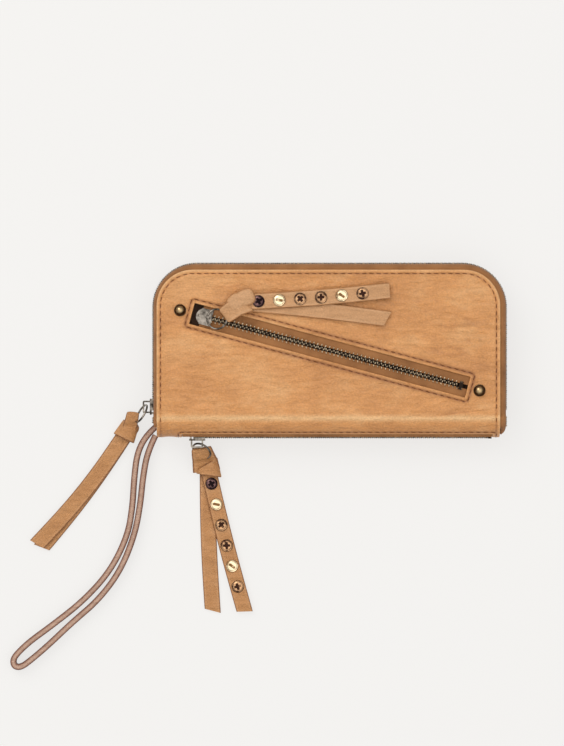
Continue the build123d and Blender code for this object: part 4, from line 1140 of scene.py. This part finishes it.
# %% The three pulls
LIE_CLEAR, TAIL_GAP = 0.2, 0.5  # room under the lower tail, and between the two tails
KNOT_LEVEL = 3.35
CORE = (5.0, 5.0, 2.6)  # half sizes of a knot's padded core
pull_facts = {
    "main": {
        "heading": 231.0, "away": 7.0, "surface": 0.0, "upper": (-165.4, -109.6), "lower": (-162.8, -111.4),
        "cuts": (-2.0, -3.0), "bows": (2.2, 1.6),
        "flap": [(-113.8, -45, 3.4), (-112.6, -41, 5.2), (-111.2, -36.8, 7.0), (-110.9, -35.4, 8.4),
                 (-111.0, -36.2, 9.8), (-111.7, -39.5, 9.2), (-112.6, -42.6, 6.9), (-113.6, -45.5, 4.6)],
        "across": -6.0, "widths": (7.0, 6.8, 8.2),
        "wraps": [(13, 1.6, 9.8, 5.0, 3.2, 0.03)],
        "cushions": [], "rivets": None, "rubbed": 0.0,
    },
    "spine": {
        "heading": -80.0, "away": 5.5, "surface": 0.0, "upper": (-47.9, -147.6), "lower": (-66.0, -147.3),
        "cuts": (2.2, 3.0), "bows": (-0.6, -0.8),
        "flap": [(-69.4, -67, 3.0), (-71.0, -61, 5.2), (-72.2, -57.0, 7.4), (-72.8, -55.4, 9.2),
                 (-72.2, -56.4, 10.8), (-71.2, -59.4, 9.2), (-70.3, -62.6, 6.6), (-69.4, -68.0, 4.8)],
        "across": 4.0, "widths": (10.5, 10.6, 15.6),
        "wraps": [(2, 1.8, 6.8, 6.1, 3.9, 0.0, 0.11)],
        "cushions": [], "rivets": (10.0, 12.0), "rubbed": 0.0,
    },
    "pocket": {
        "heading": 41.0, "away": 9.5, "surface": THICKNESS, "upper": (33.5, 33.5), "lower": (32.4, 17.7),
        "cuts": (0.3, 3.5), "bows": (-0.8, 0.6),
        "flap": [(-47.0, 26.6, 27.4), (-53.4, 23.4, 27.2), (-57.8, 20.3, 27.8), (-59.2, 19.4, 28.8),
                 (-57.8, 20.4, 30.0), (-53.0, 23.7, 31.2), (-48.0, 26.2, 30.6), (-45.2, 27.0, 28.6)],
        "across": -54.0, "widths": (9.4, 9.4, 12.2),
        "wraps": [],
        "cushions": [((-47.4, 29.4, 29.6), 20.0, (5.6, 4.8, 2.5))],
        "rivets": (12.6, 11.7), "rubbed": 0.55,
    },
}
knots = {}
for name, pull in pull_facts.items():
    eye = np.array(joint_of[f"{name}_pull"]["pos_m"]) / MM
    level = pull["surface"] + LIE_CLEAR
    knot = eye + pull["away"] * flat_direction(pull["heading"])
    knot[2] = level + KNOT_LEVEL
    knots[name] = knot
    tail_levels = level + STRIP * 1.5 + TAIL_GAP, level + STRIP / 2
    tips = pull["upper"], pull["lower"]
    shapes = [tail_shape(knot, *tail) for tail in zip(tips, tail_levels, pull["cuts"], pull["bows"])]
    shapes += [flap(pull["flap"], pull["across"], pull["widths"]), cushion(knot, pull["heading"], CORE)]
    for number, wrap in enumerate(pull["wraps"]):
        shapes.append(wrap_band(knot, pull["heading"], *wrap, seed=number))
    for middle, heading, half_sizes in pull["cushions"]:
        shapes.append(cushion(np.array(middle), heading, half_sizes))
    points, faces, rub = join_shapes(shapes)
    points[:, 2] = np.maximum(points[:, 2], level - 0.08)  # nothing hangs below what the strip lies on
    body_piece(f"{name}_knotted_strip", points, faces, tassel_leather, "tassel_leather", f"{name}_pull",
               f"{name}_tassel", rub=rub + pull["rubbed"])
    print(name, "knot at", knot.round(1), "faces", len(faces))

# %% [markdown]
# ## Rivets
# The riveted tails carry six screw-head rivets, some bright, some bronze, the first nearly black. A
# head is a low dome with a rolled rim, and a slot or a cross is sunk into it. It is a polar grid:
# the height is a function of the radius and the angle, and the sunk parts keep their patina. One
# side of each head, towards the upper left, is painted lighter as a painted highlight.

# %% Rivets
RIVET_RADIUS = 3.5
RIVET_TONES = ("dark", "bright", "bronze", "bronze", "bright", "bronze")
RIVET_METALS = {"dark": dark_bronze, "bright": bright_brass, "bronze": bronze}


def turned_shape(rings, sides, rub):
    """A round shape from rings, each a radius and a height, with values of wear and painted light for ring
    and angle.
    """
    reach, level = np.array(rings).T[:, :, None]
    angle = np.linspace(0, 2 * np.pi, sides + 1)[:-1]
    points = np.stack([reach * np.cos(angle), reach * np.sin(angle), level + 0 * angle], -1)
    return points.reshape(-1, 3), tube_faces(len(rings), sides), (rub + 0 * angle).ravel()


def rivet_dip(across, along):
    """A slot 1.2 wide and 4.2 long, soft at its sides."""
    return smooth_step(0.72 - np.abs(across), 0, 0.3) * smooth_step(2.0 - np.abs(along), 0, 0.4)


def rivet_head(turned, crossed):
    """Dome 0.95 - 0.38 q^2 high at radius share q, rolled down at the rim, less the recess."""
    q = np.array([0.02, 0.1, 0.18, 0.26, 0.34, 0.42, 0.5, 0.58, 0.66, 0.74, 0.82, 0.88, 0.93, 0.97, 1.0])
    angle = np.linspace(0, 2 * np.pi, 49)[:-1]
    x, y = q[:, None] * RIVET_RADIUS * np.cos(angle), q[:, None] * RIVET_RADIUS * np.sin(angle)
    rim_ring = bell(q, 0.8, 0.06)
    height = 0.95 - 0.38 * q**2 - 0.2 * rim_ring
    roll = np.sqrt(np.clip(1 - ((q - 0.93) / 0.075) ** 2, 0.05, 1))
    height = np.where(q > 0.93, height * roll, height)[:, None]
    recess = rivet_dip(x, y)
    if crossed:
        recess = np.maximum(recess, rivet_dip(y, x))
    # the slot and the groove keep their patina, the rolled rim is darker, and the cosine term is a painted
    # highlight on the side towards the upper left
    rub = 0.5 - 1.1 * recess - 0.7 * rim_ring[:, None] + 0.25 * np.cos(angle - 2.2)
    rub = rub - 1.4 * smooth_step(q, 0.88, 0.95)[:, None]
    height = height - 0.42 * recess
    height[-1] = 0.0
    c, s = np.cos(turned), np.sin(turned)
    points = np.stack([x * c - y * s, x * s + y * c, height], -1).reshape(-1, 3)
    return points, tube_faces(*x.shape), rub.ravel()


def rivet_shank():
    """The shank through the tail and the small plate behind it, from rings of a radius and a height."""
    rings = [(2.0, -STRIP - 0.3), (2.0, -STRIP), (1.2, -STRIP), (1.2, 0.0)]
    return turned_shape(rings, 24, np.zeros((len(rings), 1)))


for name, pull in pull_facts.items():
    if not pull["rivets"]:
        continue
    first_rivet, pitch = pull["rivets"]
    start = knots[name][:2]
    tip = np.array(pull["upper"])
    way = unit(tip - start)
    side = np.array([-way[1], way[0]])
    reach = np.linalg.norm(tip - start) - TAIL_START
    top = pull["surface"] + LIE_CLEAR + 2 * STRIP + TAIL_GAP
    groups = {tone: [] for tone in RIVET_METALS}
    for number, tone in enumerate(RIVET_TONES):
        away = first_rivet + number * pitch
        bow = pull["bows"][0] * np.sin(np.pi * (away - TAIL_START) / reach)
        place = np.array([*(start + way * away + side * bow), top])
        for points, faces, rub in (rivet_head(0.5 + 0.9 * number, number % 3 != 1), rivet_shank()):
            groups[tone].append((points + place, faces, rub))
    for tone, metal in RIVET_METALS.items():
        points, faces, rub = join_shapes(groups[tone])
        body_piece(f"{name}_{tone}_rivets", points, faces, metal, "rivet_brass", f"{name}_pull",
                   f"{name}_tassel_rivets", rub=rub, sharp=35)
print("rivets:", len(RIVET_TONES), "on each riveted tail")

# %% [markdown]
# ## Zip teeth
# A brass tooth is a small stamped clasp: a narrow head that goes into its neighbour, a waist, and
# two legs pinched over the tape. Each one is a bar with eight sides whose size changes from head to
# legs. One bar is worked out, then copied along a whole row of places at once. The heads and the
# ends of the legs are rubbed bright and carry a painted glint, and the rest keeps its dark patina.

# %% Zip teeth
TOOTH_PITCH = 2.3
TOOTH_END = 0.5  # half a CAD tooth, from the end of a row to its first tooth's middle
TOOTH_REACH = 3.3  # how far a CAD tooth reaches across the tape
FLAT_SIDE = 1 / 1.08  # a bar's flat sides lie this share of its corners' distance from its middle
POCKET_TEETH_START = -74.6  # first tooth's middle, along the slant from the window's middle
TOOTH_LEAN = 0.28  # how far a tooth slants for each millimetre outwards
tooth_across = np.array([-0.85, -0.7, -0.1, 0.6, 1.15, 1.3, 2.2, 2.4])
tooth_half_run = np.array([0.2, 0.42, 0.5, 0.42, 0.42, 0.5, 0.48, 0.26])
tooth_half_out = np.array([0.3, 0.66, 0.8, 0.9, 1.15, 1.24, 1.2, 0.85])
tooth_rub = np.array([1.0, 0.9, 0.35, -0.3, -0.4, 0.1, 0.75, 0.4])
TOOTH_SIDES = 8
tooth_turn = (np.arange(TOOTH_SIDES) + 0.5) * 2 * np.pi / TOOTH_SIDES


def tooth_row(places, forward, across, out):
    """One bar for every place. forward, across and out are directions, one for all or one for each."""
    ring = np.stack([np.cos(tooth_turn), np.sin(tooth_turn)], -1) / FLAT_SIDE
    run = ring[None, :, 0] * tooth_half_run[:, None] + TOOTH_LEAN * tooth_across[:, None]
    high = ring[None, :, 1] * tooth_half_out[:, None]
    wide = np.repeat(tooth_across[:, None], TOOTH_SIDES, 1)
    local = np.stack([run, wide, high], -1).reshape(-1, 3)
    axes = np.stack([np.broadcast_to(way, places.shape) for way in (forward, across, out)], 1)
    points = places[:, None] + np.einsum("kc,ncx->nkx", local, axes)
    faces = repeat_faces(tube_faces(len(tooth_rub), TOOTH_SIDES), len(places), len(local))
    return points.reshape(-1, 3), faces, np.tile(np.repeat(tooth_rub, TOOTH_SIDES), len(places))


def teeth_piece(name, body, rows, metal=zip_bronze):
    """One mesh with all the teeth of a CAD node of that name."""
    points, faces, rub = join_shapes(rows)
    body_piece(name + "_stamped", points, faces, metal, "antique_brass", body, name, rub=rub, sharp=40)
    print(name, len(rub) // len(tooth_rub) // TOOTH_SIDES, "teeth")


def straight_row(start, forward, across, count):
    """Teeth at even steps from a start point."""
    places = np.array(start) + np.arange(count)[:, None] * TOOTH_PITCH * np.array(forward)
    return tooth_row(places, forward, across, np.cross(forward, across))


def node_count(size):
    """How many teeth a straight CAD row of that length holds."""
    return int(round((size - 2 * TOOTH_END) / TOOTH_PITCH)) + 1


# %% [markdown]
# The two rows of a chain stand half a pitch apart, so that each tooth goes between two others.

# %% Rows of teeth
rim_full, rim_full_out = rim_line(FOLD_Y)
teeth_low = node_box("front_zip_teeth")[0][1] - FOLD_Y + TOOTH_END
rim_end = run_along(rim_full)[-1] - teeth_low
rim_rows = (("front_zip_teeth", 0, 1, "front_cover"), ("back_zip_teeth", 0.5, -1, "back_cover"))
for name, shift, way, body in rim_rows:
    runs = np.arange(teeth_low + shift * TOOTH_PITCH, rim_end, TOOTH_PITCH)
    places = at_level(along_line(rim_full, rim_full, runs), SPINE_RADIUS)
    outward = unit(at_level(along_line(rim_full, rim_full_out, runs), 0))
    teeth_piece(name, body, [tooth_row(places, np.cross(outward, UP), UP * way, outward)])

for name, way in (("spine_teeth_upper", 1), ("spine_teeth_lower", -1)):
    low, high = node_box(name)
    start = (low[0] + TOOTH_END, -RIM_Y, SPINE_RADIUS)
    row = straight_row(start, (1, 0, 0), (0, 0, way), node_count(high[0] - low[0]))
    teeth_piece(name, "back_cover", [row])

slant_along, slant_up = np.array([*SLANT_ALONG, 0.0]), np.array([*SLANT_ACROSS, 0.0])
for name, way in (("pocket_teeth_upper", 1), ("pocket_teeth_lower", -1)):
    low, high = node_box(name)
    count = node_count((high[0] - low[0] - TOOTH_REACH * abs(SLANT_ALONG[1])) / SLANT_ALONG[0])
    first = POCKET_TEETH_START + (0.5 if way < 0 else 0.0) * TOOTH_PITCH
    row = straight_row(slant_along * first + UP * pocket_level, slant_along, slant_up * way, count)
    teeth_piece(name, "front_cover", [row], pocket_bronze)

for end_name, (side, spread, _, _) in TUCKED_ENDS.items():
    name = f"{end_name}_end_teeth"
    low, high = node_box(name)
    rows = []
    for way in (1, -1):
        start_y = high[1] - TOOTH_END - (TOOTH_PITCH / 2 if way < 0 else 0)
        count = int((start_y - low[1]) / TOOTH_PITCH) + 1
        start = (side * RIM_X, start_y, SPINE_RADIUS + way * spread)
        rows.append(straight_row(start, (0, -1, 0), (0, 0, way), count))
    teeth_piece(name, "back_cover", rows)

# %% [markdown]
# ## Wrist strap
# The strap is a free strip of leather, so it is a cord: one smooth line from the corner of the
# wallet out over the table and back. It stands on its edge, so from above the eye sees the cut edge
# of the hide, paler in the middle and dark where the two faces meet it. The line is a NURBS curve
# through its control points, and the strip follows points read from that curve.

# %% Wrist strap
STRAP_THICK, STRAP_WIDTH = 3.4, 6.0
strap_low, strap_high = node_box("wrist_strap")
strap_corner = np.array([PANEL_LEFT, -RIM_Y])
strap_route = np.array(
    [
        (-1.1, 5.0), (-6.0, 0.8), (-11.4, -9.2), (-13.2, -23.7), (-14.1, -39.7), (-16.8, -56.2),
        (-26.5, -76.2), (-42.1, -93.4), (-59.8, -107.2), (-71.8, -115.9), (-78.0, -121.6), (-81.7, -126.1),
        (-81.0, -130.2), (-77.0, -130.8), (-70.6, -125.9), (-61.3, -117.9), (-48.0, -105.2), (-33.5, -92.9),
        (-20.9, -76.2), (-12.8, -55.7), (-9.7, -38.7), (-8.2, -23.2), (-5.6, -8.8), (-1.1, 0.3),
    ]
)
strap_level = (strap_low[2] + strap_high[2]) / 2


def nurbs_line(route, level):
    """Points read from a bevel-less NURBS curve with the route as its control points."""
    data = bpy.data.curves.new("strap_route", "CURVE")
    data.dimensions = "3D"
    data.resolution_u = 16
    spline = data.splines.new("NURBS")
    spline.points.add(len(route) - 1)
    for point, (x, y) in zip(spline.points, route):
        point.co = (x * MM, y * MM, level * MM, 1)
    spline.order_u = 3
    spline.use_endpoint_u = True
    holder = bpy.data.objects.new("strap_route", data)
    mesh = bpy.data.meshes.new_from_object(holder)
    points = np.zeros(len(mesh.vertices) * 3)
    mesh.vertices.foreach_get("co", points)
    bpy.data.objects.remove(holder)
    bpy.data.curves.remove(data)
    bpy.data.meshes.remove(mesh)
    return points.reshape(-1, 3) / MM


strap_path = nurbs_line(strap_route + strap_corner, strap_level)
strap_side = np.cross(UP, unit(np.gradient(strap_path, axis=0)))
half_w, half_t = STRAP_WIDTH / 2, STRAP_THICK / 2
strap_share = np.array([0.35, 0.72, 0.93, 1.0])
strap_round = np.array([0.0, 0.05, 0.25, 0.6])
top_half = np.stack([strap_share * half_t, half_w - strap_round], -1)
strap_section = np.concatenate(
    [
        [(-half_t, -half_w + 0.35), (-half_t, -1.5), (-half_t, 0), (-half_t, 1.5)],
        top_half[::-1] * [-1, 1],
        [(0, half_w)],
        top_half,
        [(half_t, 1.5), (half_t, 0), (half_t, -1.5), (half_t, -half_w + 0.35)],
        [(half_t * 0.75, -half_w), (0, -half_w), (-half_t * 0.75, -half_w)],
    ]
)
points, faces = sweep(strap_path, strap_side, strap_section)
from_middle = np.abs(strap_section[:, 0]) / half_t
edge_rub = np.interp(from_middle, [0, 0.35, 0.62, 0.85, 1.0], [0.7, 0.35, -0.1, -1.3, -1.0])
strap = body_piece("wrist_strap_strip", points, faces, strap_leather, "strap_leather", "back_cover",
                   "wrist_strap", rub=np.tile(edge_rub, len(strap_path)))
print("strap", round(run_along(strap_path)[-1], 1), "mm long,", len(strap_path), "points")

# %% [markdown]
# ## Domed studs
# A stud is a turned brass dome on a flat rolled foot. It could be a sphere cut in half, but the foot
# and the dark line round it, which is painted shade, are what the eye reads, so the whole profile is
# turned at once: a list of radii, the height at each, and the painted light there: a painted
# highlight on the crown, lighter on the side towards the upper left, and painted shade round the
# dome's foot.

# %% Domed studs
stud_share = np.array([0.03, 0.15, 0.3, 0.45, 0.58, 0.7, 0.8, 0.86, 0.88, 0.93, 0.97, 1.0])
stud_painted_light = np.array([1.0, 0.9, 0.6, 0.25, -0.1, -0.5, -0.9, -1.2, -1.2, -0.2, -0.5, -1.0])
STUD_SIDES = 48
STUD_SIDE_HIGHLIGHT = 0.3 * stud_share.mean()  # painted highlight: one side of the dome is a little lighter


def stud_dome(middle, radius, height, post):
    """Dome z = h sqrt(1 - (q / 0.88)^2) to q = 0.88, then the rolled foot, down to the post."""
    angle = np.linspace(0, 2 * np.pi, STUD_SIDES + 1)[:-1]
    dome = height * np.sqrt(np.clip(1 - (stud_share / 0.88) ** 2, 0, 1))
    foot = 0.55 * np.sqrt(np.clip(1 - ((stud_share - 0.94) / 0.065) ** 2, 0, 1))
    outer = [(radius * q, z) for q, z in zip(stud_share, np.maximum(dome, foot + 0.03))]
    rings = outer + [(radius, 0.0), (1.0, 0.0), (1.0, -post)]
    painted_light = np.array([*stud_painted_light, -1.0, -1.0, -1.0])[:, None] + STUD_SIDE_HIGHLIGHT * np.cos(angle - 2.2)
    points, faces, painted_light = turned_shape(rings, STUD_SIDES, painted_light)
    return points + middle, faces, painted_light


for name in ("left_stud", "right_stud"):
    low, high = node_box(name)
    middle = np.array([(low[0] + high[0]) / 2, (low[1] + high[1]) / 2, THICKNESS])
    points, faces, painted_light = stud_dome(middle, (high[0] - low[0]) / 2, high[2] - THICKNESS, LEATHER)
    body_piece(name + "_turned", points, faces, stud_brass, "antique_brass", "front_cover", name,
               rub=painted_light, sharp=35)
print("studs", round(high[0] - low[0], 1), "mm across")

# %% [markdown]
# ## Linings, card slots and the coin pocket
# Inside, brown twill is stretched over thin fibre boards, four stepped leather slots for cards are
# sewn onto the back lining, and a coin pocket hangs between the covers. Each of them is a sheet: a
# grid whose rows end on a rounded outline, with its two faces rolled into each other at the edge.
# Noise sinks the face that shows a little, so that the cloth lies like cloth. Two of the pieces are
# dished: the coin pocket's front wall, and the bag behind the front zip.

# %% Sheets with a rounded outline
SHEET_EDGE = EDGE_STEPS[:6]
MOUTH_SEAM = 1.9  # a sheet's upper edge to the seam under it


def sheet_piece(name, first, second, rub, *placed):
    """A closed sheet from two faces that lie one behind the other, with the same wear and painted shade on
    both.
    """
    points = np.concatenate([np.stack(face, -1).reshape(-1, 3) for face in (first, second)])
    return body_piece(name, points, shell_faces(*rub.shape), *placed, rub=np.tile(rub.ravel(), 2))


def sheet_grid(low, high, corner):
    """x and y of a grid over a rectangle with rounded upper corners, and the distance from its sides
    and top, and from its bottom."""
    y = high[1] - place_line(*lines(40, SHEET_EDGE, SHEET_EDGE), high[1] - low[1])[:, None]
    into = np.clip(y - (high[1] - corner), 0, corner)
    inset = corner - np.sqrt(corner**2 - into**2)
    x = low[0] + inset + place_line(*lines(80, SHEET_EDGE, SHEET_EDGE), high[0] - low[0] - 2 * inset)
    y = y + 0 * x
    side, top = np.minimum(x - low[0], high[0] - x), high[1] - y
    rounded = corner - np.hypot(np.maximum(corner - side, 0), np.maximum(corner - top, 0))
    return x, y, np.where((side < corner) & (top < corner), rounded, np.minimum(side, top)), y - low[1]


def soft_sheet(name, body, material, slot, shown=1, corner=0.0, wave=0.12, seed=50):
    """A thin sheet in the place of a CAD sheet. shown is +1 or -1, the side that is seen."""
    low, high = node_box(name)
    x, y, distance, above = sheet_grid(low, high, corner)
    distance = np.minimum(distance, above)
    half = (high[2] - low[2]) / 2
    roll = turned_edge(distance, half) * 0.97
    sink = roll + wave * lattice_noise(x, y, 19, 8, seed) * smooth_step(distance, 0.6, 5)
    upper, lower = (sink, roll) if shown > 0 else (roll, sink)
    # the edges are worn pale, and painted shade darkens the seam under the mouth
    rub = 0.5 * bell(distance, 0, 0.8) - 0.7 * bell(high[1] - y, MOUTH_SEAM, 0.5)
    faces = (x, y, high[2] - upper), (x, y, low[2] + lower)
    print(name, (high - low).round(1))
    return sheet_piece(name + "_sheet", *faces, rub, material, slot, body, name), high - low


# %% [markdown]
# The two linings are stretched over their boards. A card slot is a leather sheet that lies a step
# higher than the one above it, sewn along its mouth and down the middle.

# %% Linings and card slots
LINING_CORNER = RIM_CORNER - 6.8
for name, body, shown, board in (
    ("front_lining", "front_cover", -1, "front_board"),
    ("back_lining", "back_cover", 1, "back_board"),
):
    sheet, size = soft_sheet(name, body, lining_cloth, "lining", shown, LINING_CORNER, 0.1, 50 + shown)
    flat = (size[0] * MM, size[1] * MM)

card_seams = []
mouths = [node_box(f"card_slot_{number}")[1] for number in range(1, 5)]
for number, high in enumerate(mouths, 1):
    name = f"card_slot_{number}"
    soft_sheet(name, "back_cover", inner_leather, "inner_leather", wave=0.06, seed=60 + number)
    below = mouths[number][1] if number < len(mouths) else node_box(name)[0][1] + 1
    across = np.linspace(-high[0] + 1, high[0] - 1, 300)
    down = np.linspace(below + 0.5, high[1] - 0.5, 40)
    level = high[2] - 0.04
    for line_x, line_y in ((across, across * 0 + high[1] - MOUTH_SEAM), (down * 0, down)):
        line = at_level(np.stack([line_x, line_y], -1), level)
        card_seams.append(stitches(line, UP))
stitch_piece("card_thread", card_seams, "back_cover")

# %% [markdown]
# The coin pocket's back wall is a plain sheet. Its front wall and the front pocket's bag bulge away
# from their seams, so each of them is a dish: its level rises from the sewn edge by a quarter of a
# circle. The bag is laid out along the slanted opening and cut off level at its foot.

# %% Coin pocket and front pocket's bag
def rise(distance, radius=2.4):
    """From 0 at the edge to 1 inside: a quarter of a circle."""
    return np.sqrt(np.clip(1 - np.clip(1 - distance / radius, 0, 1) ** 2, 0, 1))


def dished_piece(name, body, material, x, y, distance, base, crown, wall):
    """A dished sheet: its outer face goes from base at the edge to crown, its inner face one wall in."""
    way = np.sign(crown - base)
    outer = base + way * 0.04 + (crown - base - way * 0.04) * rise(distance)
    inner = base + (crown - base - way * wall) * rise(distance - wall)
    rub = 0.4 * bell(distance, 0, 1.5)
    sheet_piece(name + "_dished", (x, y, outer), (x, y, inner), rub, material, "lining", body, name)
    print(name, "rises from", round(base, 1), "to", round(float(np.mean(crown)), 1))


coin_cloth = "coin_pocket", lining_cloth
back_wall, size = soft_sheet("coin_pocket_back_wall", *coin_cloth, "lining", -1, wave=0.1, seed=71)
low, high = node_box("coin_pocket_front_wall")
x, y, distance, _ = sheet_grid(low, high, 0.0)
puff = 0.25 * lattice_noise(x, y, 23, 12, 72) * smooth_step(distance, 3, 12)
dished_piece("coin_pocket_front_wall", *coin_cloth, x, y, distance, low[2], high[2] - puff, 0.6)

BAG_SIDE, BAG_RISE, BAG_DEPTH = WINDOW_LONG / 2 + 2.0, 9.0, 30.0  # from the window's middle
bag_low, bag_high = node_box("pocket_bag")
along = -BAG_SIDE + place_line(*lines(70, SHEET_EDGE, SHEET_EDGE), 2 * BAG_SIDE)[None, :]
floor = np.maximum(-BAG_DEPTH, (bag_low[1] - along * np.sin(SLANT)) / np.cos(SLANT))
p, q, room = lines(24, SHEET_EDGE, SHEET_EDGE)
across = BAG_RISE - place_line(p[:, None], q[:, None], room, BAG_RISE - floor)
along = along + 0 * across
distance = np.minimum(BAG_SIDE - np.abs(along), np.minimum(BAG_RISE - across, across - floor))
x, y = (along * SLANT_ALONG[k] + across * SLANT_ACROSS[k] for k in (0, 1))
dished_piece("pocket_bag", "front_cover", shaded_pocket_cloth, x, y, distance, bag_high[2], bag_low[2], 0.4)

# %% [markdown]
# ## Collars and end tabs
# A collar is the strip of lining that joins the spine's zip tape to the coin pocket's mouth. It is
# the tape's section again, carried along the wallet.

# %% Collars
COLLAR_CLOTH, COLLAR_SAG = 0.45, 0.12
COLLAR_LINES = {  # y and z where a collar leaves the tape, and where it meets the pocket's mouth
    "coin_collar_lower": ((-41.75, 4.55), (-38.45, 8.75)),
    "coin_collar_upper": ((-41.75, 21.25), (-41.15, 15.9)),
}
share = np.linspace(0, 1, 8)[:, None]
for name, (start, end) in COLLAR_LINES.items():
    low, high = node_box(name)
    path = level_path(np.linspace(low[0] + 0.1, high[0] - 0.1, 80), 0.0, 0.0)
    line = start + (np.array(end) - start) * share + [COLLAR_SAG, 0] * np.sin(np.pi * share)
    points, faces = sweep(path, [0, 1, 0], ribbon_section(line, COLLAR_CLOTH))
    body_piece(name + "_cloth", points, faces, lining_cloth, "lining", "back_cover", name)
print("collars:", ", ".join(COLLAR_LINES))

# %% [markdown]
# A tab is a half-round of leather that closes each end of the spine. It is a grid whose rows end on
# the circle inside the spine.

# %% End tabs
for name in ("left_end_tab", "right_end_tab"):
    low, high = node_box(name)
    round_radius = (high[2] - low[2]) / 2
    y = high[1] - (high[1] - low[1] - 0.02) * np.sin(np.linspace(0, np.pi / 2, 24))[:, None]
    half = np.sqrt(np.maximum(round_radius**2 - (y - FOLD_Y) ** 2, 0.01))
    z = SPINE_RADIUS + half * np.sin(np.linspace(-np.pi / 2, np.pi / 2, 33))[None, :]
    y = y + 0 * z
    distance = np.minimum(round_radius - np.hypot(y - FOLD_Y, z - SPINE_RADIUS), high[1] - y)
    roll = turned_edge(np.maximum(distance, 0))
    faces = (high[0] - roll, y, z), (low[0] + roll, y, z)
    rub = 0.5 * bell(distance, 0, 0.9)
    sheet_piece(name + "_leather", *faces, rub, skin_leather, "skin", "back_cover", name)
print("tab radius", round(round_radius, 1))

# %% [markdown]
# ## Sliders, rings, stops and boards
# These shapes are right in the CAD model, so they only get their finish. The sliders, bails and
# rings are antiqued nickel, the stops and the washers behind the studs are the bronze of the teeth,
# and the boards are pressed fibre.

# %% Finishes of the CAD pieces
for name, node in nodes.items():
    if node.hide_render:
        continue
    finish = zip_bronze
    if "slider" in name or "ring" in name:
        finish = old_nickel
    elif "board" in name:
        finish = board_fibre
    node.data.materials.clear()
    node.data.materials.append(finish)
    print(name, finish.name)
